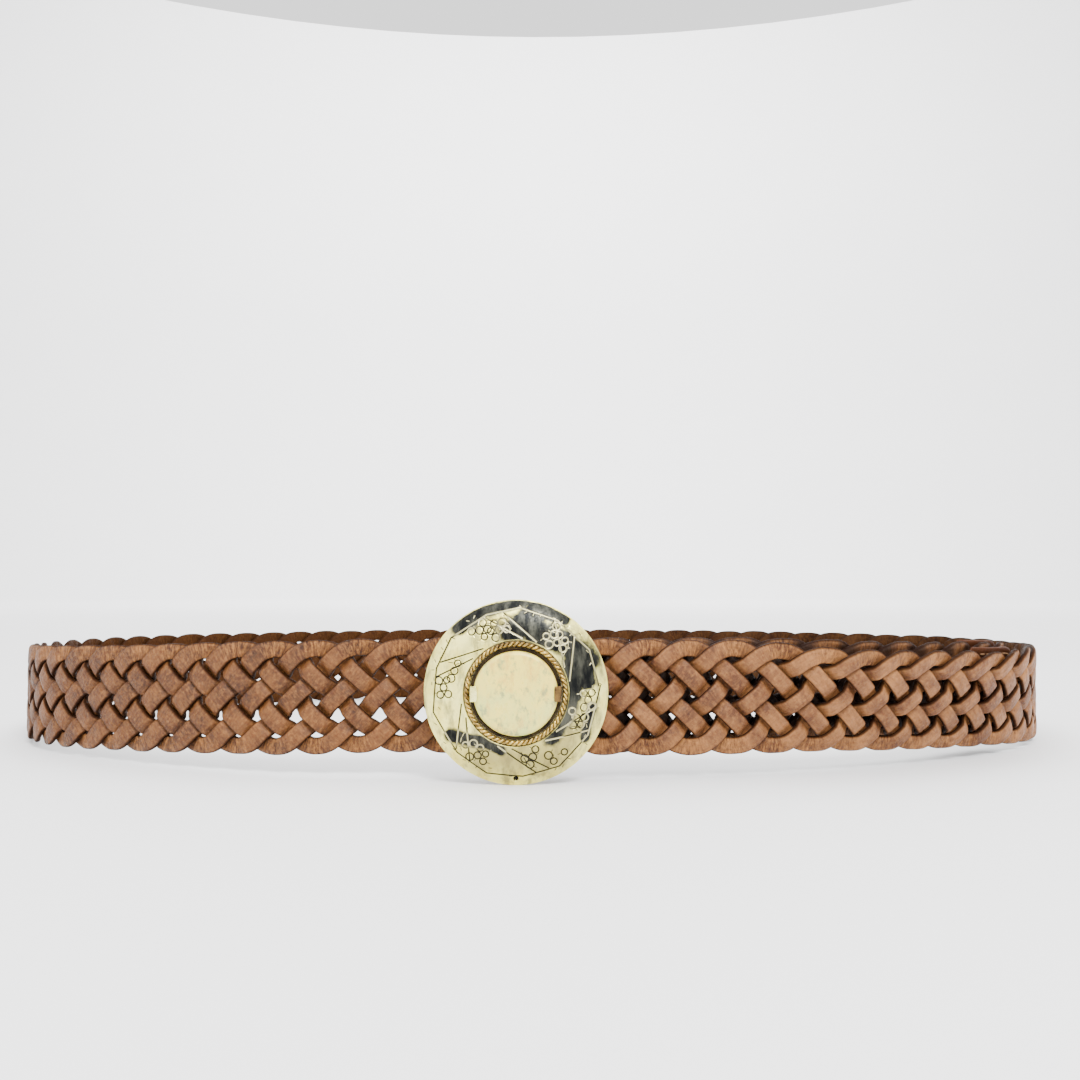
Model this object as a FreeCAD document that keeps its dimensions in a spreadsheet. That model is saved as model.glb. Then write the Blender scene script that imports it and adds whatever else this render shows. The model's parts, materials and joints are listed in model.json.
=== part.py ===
import FreeCAD, Part

import math
import os

import Sketcher

# Braided leather belt, fastened as a closed loop and standing on its lower edge.
# Millimetres. +X is the wearer's side seen on the right, -Y the front with the
# buckle, +Z up. The origin is on the ground plane, at the middle of the footprint.
#
# Strap coordinates: s runs along the loop from the front centre towards +X,
# v runs across the strap from its middle, upwards, and w runs outwards.

doc = FreeCAD.newDocument("braided_belt")

# ---------------------------------------------------------------- dimensions

DIMENSIONS = [
    ("loop_half_width", 196, "half of the loop's width, to the strap's middle"),
    ("loop_half_depth", 120, "half of the loop's depth, to the strap's middle"),
    ("loop_side_radius", 85, "radius of the loop's two side arcs"),
    ("front_lift", 7.5, "height of the strap's lower edge above the ground at the buckle"),
    ("front_lift_reach", 280, "distance from the buckle at which the strap rests on the ground"),
    ("row_spacing", 6.2, "distance between two rows of crossings"),
    ("strand_width", 5.2, "width of one leather strand"),
    ("strand_thick", 2, "thickness of one leather strand"),
    ("weave_height", 1.15, "distance of a strand's middle from the strap's middle at a crossing"),
    ("turn_radius", 10, "radius of a strand's turn at the strap's edge"),
    ("hole_count", 74, "middle holes from the buckle to the hooked one"),
    ("bar_place", 11, "place of the buckle's bar along the loop"),
    ("first_crossing", 3.4, "distance from the bar to the first crossings"),
    ("fold_radius", 2.6, "radius of a thong's middle where it folds round the bar"),
    ("leg_spread", 0.1, "further distance between a thong's two legs at their first crossings"),
    ("flex_place", 50, "distance of each flexing line from the front centre"),
    ("flex_gap", 1.1, "gap between the strands' ends at a flexing line"),
    ("tail_offset", 6, "distance of the tail inside the outer strap"),
    ("inset_start", 82, "distance before the front centre where the tail starts to turn inwards"),
    ("inset_full", 30, "distance before the front centre where the tail is fully inside"),
    ("tail_reach", 182, "distance of the tail's tip beyond the front centre"),
    ("tip_offset", 1.2, "further offset of the tail at its thicker tip"),
    ("tip_run", 25, "length of the tail over which the further offset grows"),
    ("lean_angle", 22, "outward lean of the strap to the right of the buckle, in degrees"),
    ("lean_start", 45, "place along the loop where the lean starts"),
    ("lean_full", 100, "place along the loop where the lean is full"),
    ("lean_fading", 150, "place along the loop where the lean starts to fade"),
    ("lean_gone", 215, "place along the loop where the strap is upright again"),
    ("strands_short", 12, "distance of the strands' ends before the tip, at the least"),
    ("ply_length", 36, "length of the leather tip"),
    ("ply_height", 34, "height of the leather tip"),
    ("ply_thick", 1.3, "thickness of each ply of the tip"),
    ("ply_gap", 0.1, "gap between a ply and the strands or the other ply"),
    ("ply_closing", 1.5, "distance beyond the strands' ends where the plies start to close"),
    ("stitch_inset", 2.2, "distance of the stitches from the ply's edge"),
    ("stitch_lift", 0.05, "gap between the ply and the middle of a stitch"),
    ("stitch_pitch", 3.4, "distance between two stitches of the tip"),
    ("stitch_long", 2.3, "length of one stitch"),
    ("stitch_thick", 0.6, "thickness of the stitching thread"),
    ("disc_place", -5, "place of the buckle disc's centre along X"),
    ("disc_radius", 27, "radius of the buckle disc"),
    ("disc_stand", 5.6, "distance from the bar's axis to the back of the disc"),
    ("plate_thick", 0.8, "thickness of the back plate and of the cup's floor"),
    ("dome_height", 4.4, "rise of the dome from its rim to its inner edge"),
    ("dome_thick", 1, "thickness of the dome's shell"),
    ("dome_inner", 15.2, "radius of the dome's opening"),
    ("cup_radius", 13.3, "outer radius of the stone's cup"),
    ("cup_wall", 0.6, "thickness of the cup's wall"),
    ("cup_height", 3.6, "height of the cup above the back plate"),
    ("rope_radius", 14.25, "radius of the rope ring's middle"),
    ("rope_thick", 0.83, "radius of the rope ring's section"),
    ("rope_sunk", 0.2, "depth of the rope ring's middle below the dome's inner edge"),
    ("bed_height", 2.2, "height of the bed under the stone"),
    ("bed_gap", 0.1, "gap between the bed and the cup's wall"),
    ("stone_radius", 12.3, "radius of the stone"),
    ("stone_side", 1.8, "height of the stone's straight side"),
    ("stone_edge", 1.4, "height and depth of the stone's rounded edge"),
    ("stone_crown", 0.5, "rise of the stone's face above its rounded edge"),
    ("claw_long", 4.5, "length of a claw along the stone's edge"),
    ("claw_reach", 2.1, "reach of a claw over the stone, with its leg"),
    ("claw_inset", 0.15, "distance of a claw's leg inside the cup's outer face"),
    ("claw_thick", 0.6, "thickness of a claw's tab and leg"),
    ("wire_radius", 1.5, "radius of the bail's wire"),
    ("bail_half", 17.6, "half of the bail's height, between the middles of its legs"),
    ("bail_bend", 2.1, "radius of the bail's two bends, at the wire's middle"),
    ("hook_place", -15, "place of the hook along the loop"),
    ("hook_radius", 1.1, "radius of the hook's pin"),
    ("hook_reach", 14.6, "distance that the hook stands behind the disc"),
    ("pad_radius", 3, "radius of the hook's pad"),
    ("pad_thick", 0.8, "thickness of the hook's pad"),
    ("rim_hole_radius", 0.75, "radius of the small hole through the disc's rim"),
    ("rim_hole_inset", 2.2, "distance of the small hole from the disc's edge"),
]

sheet = doc.addObject("Spreadsheet::Sheet", "dims")
for row, (alias, value, meaning) in enumerate(DIMENSIONS, start=1):
    sheet.set(f"A{row}", alias)
    sheet.set(f"B{row}", str(value))
    sheet.set(f"C{row}", meaning)
    sheet.setAlias(f"B{row}", alias)
doc.recompute()


def dim(alias):
    """The number that the sheet holds under this alias."""
    return float(sheet.get(alias))


# ------------------------------------------------------------- the loop's path

HALF_WIDTH = dim("loop_half_width")
HALF_DEPTH = dim("loop_half_depth")
SIDE_RADIUS = dim("loop_side_radius")
# A four-centre oval: the front and back arcs meet the side arcs tangentially.
FRONT_RADIUS = (
    (HALF_WIDTH**2 + HALF_DEPTH**2 - 2 * HALF_WIDTH * SIDE_RADIUS) / (2 * (HALF_DEPTH - SIDE_RADIUS))
)
SIDE_CENTRE = HALF_WIDTH - SIDE_RADIUS
FRONT_CENTRE = FRONT_RADIUS - HALF_DEPTH
FRONT_ANGLE = math.atan2(SIDE_CENTRE, FRONT_CENTRE)
FRONT_ARC = FRONT_RADIUS * FRONT_ANGLE
SIDE_ARC = SIDE_RADIUS * (math.pi - 2 * FRONT_ANGLE)
PERIMETER = 4 * FRONT_ARC + 2 * SIDE_ARC

# ------------------------------------------------------------------- the braid

STRANDS = 6
CENTRE_HOLE = PERIMETER + dim("hook_place")
FIRST_CROSSING = dim("bar_place") + dim("first_crossing")
PITCH = (CENTRE_HOLE - FIRST_CROSSING) / (dim("hole_count") + 0.5)
STEP = PITCH / 2
HALF_STRAND = dim("strand_width") / 2
HALF_THICK = dim("strand_thick") / 2
WEAVE = dim("weave_height")
TURN_RADIUS = dim("turn_radius")
SWING = 3 * dim("row_spacing")
SLOPE = SWING / (3 * STEP)
SLOPE_ANGLE = math.atan(SLOPE)
TURN_HALF = TURN_RADIUS * math.sin(SLOPE_ANGLE)
TURN_TOP = SWING + TURN_RADIUS * (1 - 1 / math.cos(SLOPE_ANGLE))
HALF_STRAP = TURN_TOP + HALF_STRAND
STRAP_HALF_THICK = WEAVE + HALF_THICK
# Between two crossings a strand changes sides within this part of the way.
STEP_START = 1 / 3
STEP_STOP = 2 / 3


def between_columns(s):
    """The place nearest below s that is midway between two columns of crossings."""
    return FIRST_CROSSING + STEP * (math.floor((s - FIRST_CROSSING) / STEP) + 0.5)


FLEX = between_columns(dim("flex_place"))
TAIL_START = between_columns(PERIMETER - dim("flex_place"))
TAIL_END = PERIMETER + dim("tail_reach")
PLY_START = TAIL_END - dim("ply_length")
STRANDS_END = between_columns(TAIL_END - dim("strands_short"))
PLY_CLOSING = STRANDS_END + dim("ply_closing")
UP = FreeCAD.Vector(0, 0, 1)

# The buckle stands out at the front, so the loop sits back to keep the footprint centred.
STONE_TOP = dim("plate_thick") * 2 + dim("bed_height") + dim("stone_side") + dim("stone_edge")
CLAW_TOP = STONE_TOP + dim("claw_thick")
BAR_REACH = FRONT_RADIUS * math.cos(dim("bar_place") / FRONT_RADIUS) - FRONT_CENTRE
FRONT_REACH = BAR_REACH + dim("disc_stand") + CLAW_TOP
LOOP_SHIFT = (FRONT_REACH - HALF_DEPTH - STRAP_HALF_THICK) / 2


def smooth(low, high, value):
    """0 below low, 1 above high and a smooth step between."""
    part = min(1, max(0, (value - low) / (high - low)))
    return part * part * (3 - 2 * part)


def heading(s):
    """Arc centre, radius and angle of the loop at s, the angle counted from the front."""
    s = s % PERIMETER
    front = (0, FRONT_CENTRE)
    stretches = [
        (FRONT_ARC, FRONT_RADIUS, front, 0),
        (SIDE_ARC, SIDE_RADIUS, (SIDE_CENTRE, 0), FRONT_ANGLE),
        (2 * FRONT_ARC, FRONT_RADIUS, (0, -FRONT_CENTRE), math.pi - FRONT_ANGLE),
        (SIDE_ARC, SIDE_RADIUS, (-SIDE_CENTRE, 0), math.pi + FRONT_ANGLE),
        (FRONT_ARC, FRONT_RADIUS, front, 2 * math.pi - FRONT_ANGLE),
    ]
    start = 0
    for length, radius, centre, angle in stretches:
        if s <= start + length:
            break
        start += length
    return centre, radius, angle + (s - start) / radius


def lift(s):
    """Height of the strap's lower edge above the ground."""
    reach = dim("front_lift_reach")
    away = min(s % PERIMETER, -s % PERIMETER)
    if away > reach:
        return 0
    return dim("front_lift") * math.cos(math.pi * away / (2 * reach)) ** 2


def lean(s):
    """Outward lean of the strap from upright, in radians."""
    s = s % PERIMETER
    growing = smooth(dim("lean_start"), dim("lean_full"), s)
    fading = smooth(dim("lean_fading"), dim("lean_gone"), s)
    return math.radians(dim("lean_angle")) * growing * (1 - fading)


def tail_inset(s):
    """Distance of the strap inside the loop's path: nothing, except where the tail lies inside."""
    under_buckle = smooth(PERIMETER - dim("inset_start"), PERIMETER - dim("inset_full"), s)
    at_tip = smooth(PLY_START - dim("tip_run"), PLY_START, s)
    return dim("tail_offset") * under_buckle + dim("tip_offset") * at_tip


def directions(s):
    """The strap's own directions at s: along the loop, up across the strap, and outwards."""
    angle = heading(s)[2]
    along = FreeCAD.Vector(math.cos(angle), math.sin(angle), 0)
    level = FreeCAD.Vector(math.sin(angle), -math.cos(angle), 0)
    upward = UP * math.cos(lean(s)) + level * math.sin(lean(s))
    outward = level * math.cos(lean(s)) - UP * math.sin(lean(s))
    return along, upward, outward


def place(s, v, w):
    """The point of the strap at s, v and w. The strap leans about its lower edge."""
    centre, radius, angle = heading(s)
    along, upward, outward = directions(s)
    foot = FreeCAD.Vector(
        centre[0] + radius * math.sin(angle),
        centre[1] - radius * math.cos(angle) + LOOP_SHIFT,
        lift(s) + STRAP_HALF_THICK * math.sin(lean(s)),
    )
    return foot + upward * (HALF_STRAP + v) + outward * (w - tail_inset(s))


def across(phase):
    """v of a strand at this phase: up for 6 crossings, then down for 6, with round turns."""
    phase = phase % 12
    turn = 6 if 3 <= phase <= 9 else (0 if phase < 3 else 12)
    away = abs(phase - turn) * STEP
    side = 1 if turn == 6 else -1
    if away < TURN_HALF:
        return side * (TURN_TOP - TURN_RADIUS + math.sqrt(TURN_RADIUS**2 - away**2))
    return side * (SWING - away * SLOPE)


def slope_of(phase):
    """dv/ds of a strand at this phase, from two places close by."""
    nudge = 0.02
    return (across(phase + nudge) - across(phase - nudge)) / (2 * nudge * STEP)


def crossing_side(phase):
    """+1 where a strand passes outside the other at a crossing, -1 inside, 0 at a turn."""
    phase = phase % 12
    if phase in (0, 6):
        return 0
    outside = phase % 2 == 1
    if phase > 6:
        outside = not outside
    return 1 if outside else -1


def through(phase):
    """w of a strand: level over each crossing, with a smooth step between two crossings."""
    low = math.floor(phase)
    start = 0 if crossing_side(low) == 0 else STEP_START
    stop = 1 if crossing_side(low + 1) == 0 else STEP_STOP
    step = smooth(start, stop, phase - low)
    return WEAVE * (crossing_side(low) * (1 - step) + crossing_side(low + 1) * step)


def phase_at(strand, s):
    """Phase of a strand at s: odd numbers at the first crossings."""
    return (s - FIRST_CROSSING) / STEP + 2 * strand + 1


# ------------------------------------------------------------ ribbons of leather

SAMPLES_PER_STEP = 6
SECTIONS_PER_FACE = 12
LEG_SECTIONS = 9
# Parts of the way to the braid where a thong's legs have closed, and where they are woven in.
CLOSED_BY = 5 / LEG_SECTIONS
WOVEN_BY = 7 / LEG_SECTIONS
FOLD_DEGREES = 20
TIP_DEGREES = 8


def section(s, v, w, slope, half_width=HALF_STRAND, half_thick=HALF_THICK):
    """Four corners of a ribbon's section that faces along the slope dv/ds."""
    rise = half_width / math.hypot(1, slope)
    back = slope * rise
    return [
        place(s - back, v + rise, w + half_thick),
        place(s + back, v - rise, w + half_thick),
        place(s + back, v - rise, w - half_thick),
        place(s - back, v + rise, w - half_thick),
    ]


def ribbon(sections):
    """A solid whose four long edges run smoothly through the sections' corners."""
    # All four edges share one measure of length, so that the faces between them stay even.
    middles = [(one[0] + one[2]) * 0.5 for one in sections]
    lengths = [0]
    for before, after in zip(middles, middles[1:]):
        lengths.append(lengths[-1] + (after - before).Length)
    curves = []
    for corner in range(4):
        curve = Part.BSplineCurve()
        curve.interpolate(Points=[one[corner] for one in sections], Parameters=lengths)
        curves.append(curve)
    # Each long side is cut into short faces, which have an exact area and volume.
    faces = []
    for start in range(0, len(sections) - 1, SECTIONS_PER_FACE):
        end = min(start + SECTIONS_PER_FACE, len(sections) - 1)
        pieces = [curve.copy() for curve in curves]
        for piece in pieces:
            piece.segment(lengths[start], lengths[end])
        for piece, other in zip(pieces, pieces[1:] + pieces[:1]):
            side = Part.BSplineSurface()
            side.buildFromPolesMultsKnots(
                list(zip(piece.getPoles(), other.getPoles())), piece.getMultiplicities(), (2, 2),
                piece.getKnots(), (0, 1), False, False, piece.Degree, 1,
            )
            faces.append(side.toShape())
    # The ends are a little twisted, because the strap is curved.
    for a, b, c, d in (sections[0], sections[-1]):
        cap = Part.BSplineSurface()
        cap.buildFromPolesMultsKnots(
            [(a, b), (d, c)], (2, 2), (2, 2), (0, 1), (0, 1), False, False, 1, 1
        )
        faces.append(cap.toShape())
    shell = Part.makeShell(faces)
    shell.sewShape()
    solid = Part.makeSolid(shell)
    if solid.Volume < 0:
        solid.reverse()
    return solid


def steps_between(start, end):
    """Evenly spaced places from start to end, about SAMPLES_PER_STEP for each crossing."""
    count = max(2, round((end - start) / STEP * SAMPLES_PER_STEP))
    return [start + (end - start) * i / count for i in range(count + 1)]


def braid_section(strand, s):
    """Section of a strand inside the plain braid."""
    phase = phase_at(strand, s)
    return section(s, across(phase), through(phase), slope_of(phase))


def add_shape(label, shape):
    """Adds a document object that holds this shape."""
    item = doc.addObject("Part::Feature", label)
    item.Label = label
    item.Shape = shape
    item.Placement = FreeCAD.Placement()
    return item


def waist_strand(strand):
    """A strand of the braid from the buckle end's flexing line round to the tail's."""
    gap = dim("flex_gap") / 2
    places = steps_between(FLEX + gap, TAIL_START - gap)
    return ribbon([braid_section(strand, s) for s in places])


def leg_sections(strand, fold_v, fold_w):
    """Sections of a thong's leg from the bar to the flexing line."""
    bar = dim("bar_place")
    join = FIRST_CROSSING + STEP
    phase = phase_at(strand, join)
    span = join - bar
    # A cubic from level at the bar to the braid's slope at the second crossing.
    rise = across(phase) - fold_v
    bend = slope_of(phase) * span
    square = 3 * rise - bend
    cube = bend - 2 * rise
    at_crossing = math.copysign(WEAVE + dim("leg_spread"), fold_w)
    sections = []
    for i in range(LEG_SECTIONS):
        part = i / LEG_SECTIONS
        v = fold_v + square * part**2 + cube * part**3
        slope = (2 * square * part + 3 * cube * part**2) / span
        w = fold_w + (at_crossing - fold_w) * smooth(0, CLOSED_BY, part)
        w += (through(phase) - at_crossing) * smooth(CLOSED_BY, WOVEN_BY, part)
        sections.append(section(bar + span * part, v, w, slope))
    sections += [braid_section(strand, s) for s in steps_between(join, FLEX - dim("flex_gap") / 2)]
    return sections


def buckle_thong(number):
    """A thong doubled over the bar: its outer leg climbs and its inner leg descends."""
    rising = number
    falling = STRANDS - 1 - number
    fold_v = across(2 * number + 1)
    radius = dim("fold_radius")
    bar = dim("bar_place")
    outer = leg_sections(rising, fold_v, radius)
    inner = leg_sections(falling, fold_v, -radius)
    along, upward, outward = directions(bar)
    middle = place(bar, fold_v, 0)
    fold = []
    for angle in range(FOLD_DEGREES, 180, FOLD_DEGREES):
        turned = outward * math.cos(math.radians(angle)) - along * math.sin(math.radians(angle))
        near = middle + turned * (radius - HALF_THICK)
        far = middle + turned * (radius + HALF_THICK)
        side = upward * HALF_STRAND
        fold.append([far + side, far - side, near - side, near + side])
    # The inner leg's corners swap sides, because the fold turns the strand over.
    inner = [[one[3], one[2], one[1], one[0]] for one in inner]
    return ribbon(list(reversed(outer)) + fold + inner)


def tail_strand(strand):
    """A strand of the tail, from its flexing line to its end between the tip's plies."""
    places = steps_between(TAIL_START + dim("flex_gap") / 2, STRANDS_END)
    return ribbon([braid_section(strand, s) for s in places])


def ply_middle(s):
    """Distance of a ply's middle from the strap's: outside the braid, then closing to the tip."""
    over_braid = STRAP_HALF_THICK + dim("ply_gap") + dim("ply_thick") / 2
    closed = dim("ply_gap") / 2 + dim("ply_thick") / 2
    return over_braid + (closed - over_braid) * smooth(PLY_CLOSING, TAIL_END, s)


def tip_ply(side):
    """One ply of the tip: a curved leaf with a rounded end. side is +1 outside, -1 inside."""
    half = dim("ply_height") / 2
    round_start = TAIL_END - half
    sections = []
    for s in steps_between(PLY_START, round_start):
        sections.append(section(s, 0, side * ply_middle(s), 0, half, dim("ply_thick") / 2))
    for angle in range(TIP_DEGREES, 90, TIP_DEGREES):
        s = round_start + half * math.sin(math.radians(angle))
        height = half * math.cos(math.radians(angle))
        sections.append(section(s, 0, side * ply_middle(s), 0, height, dim("ply_thick") / 2))
    return ribbon(sections)


def ply_face(s, v):
    """A point of the outer ply's outer face."""
    return place(s, v, ply_middle(s) + dim("ply_thick") / 2)


def tip_stitches():
    """Stitches on the outer ply, in a line just inside its edge."""
    inset = dim("stitch_inset")
    half = dim("ply_height") / 2 - inset
    round_start = TAIL_END - half - inset
    pitch = dim("stitch_pitch")
    spots = []
    run = round_start - PLY_START - inset
    for i in range(int(run / pitch) + 1):
        spots += [(round_start - i * pitch, half, 0), (round_start - i * pitch, -half, 0)]
    turns = round(math.pi * half / pitch)
    for i in range(1, turns):
        angle = math.pi * i / turns
        spots.append((round_start + half * math.sin(angle), half * math.cos(angle), angle))
    stitches = []
    for s, v, angle in spots:
        # A stitch lies flat on the ply's face, which two short steps along it show.
        forward = ply_face(s + 0.5, v) - ply_face(s - 0.5, v)
        normal = forward.cross(ply_face(s, v + 0.5) - ply_face(s, v - 0.5)).normalize()
        forward.normalize()
        upward = normal.cross(forward)
        turned = forward * math.cos(angle) - upward * math.sin(angle)
        sideways = normal.cross(turned)
        stitch = Part.makeBox(
            dim("stitch_long"), dim("stitch_thick"), dim("stitch_thick"),
            FreeCAD.Vector(-dim("stitch_long") / 2, -dim("stitch_thick") / 2, dim("stitch_lift")),
        )
        matrix = FreeCAD.Matrix(
            turned.x, sideways.x, normal.x, 0,
            turned.y, sideways.y, normal.y, 0,
            turned.z, sideways.z, normal.z, 0,
            0, 0, 0, 1,
        )
        stitch.Placement = FreeCAD.Placement(matrix)
        stitch.translate(ply_face(s, v))
        stitches.append(stitch)
    return Part.makeCompound(stitches)


# ------------------------------------------------------------------ the buckle

BAR_POINT = place(dim("bar_place"), 0, 0)
HOLE_POINT = place(CENTRE_HOLE, 0, 0)
DISC_BACK = BAR_POINT.y - dim("disc_stand")
# The disc's pieces are drawn with their own +Y out of the disc's face.
DISC_FRAME = FreeCAD.Placement(
    FreeCAD.Vector(dim("disc_place"), DISC_BACK, dim("disc_radius")),
    FreeCAD.Rotation(UP, 180),
)
# A cylinder or torus stands on its own +Z, which this turns to the disc's axis.
FACE_FORWARD = FreeCAD.Rotation(FreeCAD.Vector(1, 0, 0), 90)


def expression(alias_formula):
    """Turns a formula of aliases into one that reads the sheet."""
    words = []
    for word in alias_formula.split():
        words.append("dims." + word if word[0].isalpha() else word)
    return " ".join(words)


def value_of(alias_formula):
    """The number that a formula of aliases has now."""
    total = 0
    sign = 1
    for word in alias_formula.split():
        if word in "+-":
            sign = 1 if word == "+" else -1
        else:
            total += sign * (dim(word) if word[0].isalpha() else float(word))
    return total


def new_body(label, frame):
    """An empty body with its own label and place."""
    body = doc.addObject("PartDesign::Body", label)
    body.Label = label
    body.Placement = frame
    return body


def new_sketch(body, role, name):
    """A sketch on one of the body's own origin planes."""
    sketch = body.newObject("Sketcher::SketchObject", name)
    plane = next(item for item in body.Origin.OriginFeatures if item.Role == role)
    sketch.AttachmentSupport = (plane, [""])
    sketch.MapMode = "FlatFace"
    return sketch


def bind(sketch, kind, geometry, point, formula, name):
    """Adds a named distance or radius whose size the sheet sets."""
    value = value_of(formula)
    if kind == "Radius":
        index = sketch.addConstraint(Sketcher.Constraint("Radius", geometry, value))
    else:
        index = sketch.addConstraint(Sketcher.Constraint(kind, -1, 1, geometry, point, value))
    sketch.renameConstraint(index, name)
    sketch.setExpression("Constraints." + name, expression(formula))


def outline(sketch, corners, arcs=()):
    """Draws a closed outline. corners are pairs of formulas; arcs maps an edge's number to
    its middle's x formula, for an edge that is an arc."""
    spots = [FreeCAD.Vector(value_of(x), value_of(y), 0) for x, y in corners]
    count = len(spots)
    arc_of = dict(arcs)
    for i in range(count):
        start = spots[i]
        end = spots[(i + 1) % count]
        if i not in arc_of:
            sketch.addGeometry(Part.LineSegment(start, end), False)
            continue
        # The arc's middle is as far from its start as from its end.
        middle_x = value_of(arc_of[i])
        middle_y = (
            (end.x - middle_x) ** 2 + end.y**2 - (start.x - middle_x) ** 2 - start.y**2
        ) / (2 * (end.y - start.y))
        middle = FreeCAD.Vector(middle_x, middle_y, 0)
        radius = (start - middle).Length
        angles = [math.atan2(spot.y - middle.y, spot.x - middle.x) for spot in (start, end)]
        circle = Part.Circle(middle, UP, radius)
        sketch.addGeometry(Part.ArcOfCircle(circle, min(angles), max(angles)), False)
    for i in range(count):
        start_point = 1
        end_point = 2
        if i in arc_of and spots[(i + 1) % count].x > spots[i].x:
            start_point, end_point = 2, 1
        after = (i + 1) % count
        after_start = 1
        if after in arc_of and spots[(after + 1) % count].x > spots[after].x:
            after_start = 2
        sketch.addConstraint(Sketcher.Constraint("Coincident", i, end_point, after, after_start))
        x, y = corners[i]
        for kind, formula, name in (("DistanceX", x, f"x{i}"), ("DistanceY", y, f"y{i}")):
            if value_of(formula) == 0:
                axis = -2 if kind == "DistanceX" else -1
                sketch.addConstraint(Sketcher.Constraint("PointOnObject", i, start_point, axis))
            else:
                bind(sketch, kind, i, start_point, formula, name)
        if i in arc_of:
            if value_of(arc_of[i]) == 0:
                sketch.addConstraint(Sketcher.Constraint("PointOnObject", i, 3, -2))
            else:
                bind(sketch, "DistanceX", i, 3, arc_of[i], f"middle{i}")


def turned_piece(label, corners, arcs=()):
    """A round piece of the disc: an outline of (radius, height) turned about the disc's axis."""
    body = new_body(label, DISC_FRAME)
    sketch = new_sketch(body, "XY_Plane", label + "_outline")
    outline(sketch, corners, arcs)
    turn = body.newObject("PartDesign::Revolution", label + "_turn")
    turn.Profile = sketch
    turn.ReferenceAxis = (sketch, ["V_Axis"])
    turn.Angle = 360
    sketch.Visibility = False
    return body


def dome():
    """The domed ring, with the small hole through its rim at the bottom."""
    rim = "plate_thick"
    top = "plate_thick + dome_height"
    body = turned_piece(
        "dome",
        [
            ("disc_radius", rim),
            ("dome_inner", top),
            ("dome_inner", top + " - dome_thick"),
            ("disc_radius - dome_thick - dome_thick", rim),
        ],
        arcs=[(0, "dome_inner"), (2, "dome_inner")],
    )
    hole = new_sketch(body, "XZ_Plane", "rim_hole_outline")
    drop = value_of("disc_radius - rim_hole_inset")
    circle = Part.Circle(FreeCAD.Vector(0, -drop, 0), UP, value_of("rim_hole_radius"))
    hole.addGeometry(circle, False)
    hole.addConstraint(Sketcher.Constraint("PointOnObject", 0, 3, -2))
    low = hole.addConstraint(Sketcher.Constraint("DistanceY", 0, 3, -1, 1, drop))
    hole.renameConstraint(low, "low")
    hole.setExpression("Constraints.low", expression("disc_radius - rim_hole_inset"))
    bind(hole, "Radius", 0, 0, "rim_hole_radius", "radius")
    doc.recompute()
    solid_volume = body.Shape.Volume
    cut = body.newObject("PartDesign::Pocket", "rim_hole")
    cut.Profile = hole
    cut.Type = "ThroughAll"
    cut.Midplane = True
    hole.Visibility = False
    doc.recompute()
    assert body.Shape.Volume < solid_volume - 0.5, "the rim hole cuts nothing"
    return body


def cup():
    """The cup that holds the stone: a floor and a low wall."""
    floor = "plate_thick + plate_thick"
    top = "plate_thick + cup_height"
    return turned_piece(
        "stone_cup",
        [
            ("0", "plate_thick"),
            ("cup_radius", "plate_thick"),
            ("cup_radius", top),
            ("cup_radius - cup_wall", top),
            ("cup_radius - cup_wall", floor),
            ("0", floor),
        ],
    )


def stone():
    """The flat stone, with a rounded edge and a face that rises a little to its middle."""
    base = "plate_thick + plate_thick + bed_height"
    side_top = base + " + stone_side"
    edge_top = side_top + " + stone_edge"
    return turned_piece(
        "stone",
        [
            ("0", base),
            ("stone_radius", base),
            ("stone_radius", side_top),
            ("stone_radius - stone_edge", edge_top),
            ("0", edge_top + " + stone_crown"),
        ],
        arcs=[(2, "stone_radius - stone_edge"), (3, "0")],
    )


def claw(label, turn):
    """A claw: a leg that stands on the cup's wall and a tab over the stone's edge."""
    frame = DISC_FRAME.multiply(
        FreeCAD.Placement(FreeCAD.Vector(0, 0, 0), FreeCAD.Rotation(FreeCAD.Vector(0, 1, 0), turn))
    )
    body = new_body(label, frame)
    sketch = new_sketch(body, "XY_Plane", label + "_outline")
    outer = "cup_radius - claw_inset"
    foot = "plate_thick + cup_height"
    tab = "plate_thick + plate_thick + bed_height + stone_side + stone_edge"
    outline(
        sketch,
        [
            (outer, foot),
            (outer, tab + " + claw_thick"),
            (outer + " - claw_reach", tab + " + claw_thick"),
            (outer + " - claw_reach", tab),
            (outer + " - claw_thick", tab),
            (outer + " - claw_thick", foot),
        ],
    )
    pad = body.newObject("PartDesign::Pad", label + "_pad")
    pad.Profile = sketch
    pad.Midplane = True
    pad.setExpression("Length", "dims.claw_long")
    sketch.Visibility = False
    return body


def disc_cylinder(label, radius, height, base):
    """A plain round plate on the disc's axis, its back at the height base."""
    plate = doc.addObject("Part::Cylinder", label)
    plate.Label = label
    plate.setExpression("Radius", expression(radius))
    plate.setExpression("Height", expression(height))
    centre = DISC_FRAME.multVec(FreeCAD.Vector(0, value_of(base), 0))
    plate.Placement = FreeCAD.Placement(centre, FACE_FORWARD)
    return plate


def rope_ring():
    """The ring of twisted wire between the dome and the cup."""
    ring = doc.addObject("Part::Torus", "rope_ring")
    ring.Label = "rope_ring"
    ring.setExpression("Radius1", "dims.rope_radius")
    ring.setExpression("Radius2", "dims.rope_thick")
    height = value_of("plate_thick + dome_height - rope_sunk")
    centre = DISC_FRAME.multVec(FreeCAD.Vector(0, height, 0))
    ring.Placement = FreeCAD.Placement(centre, FACE_FORWARD)
    return ring


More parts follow.
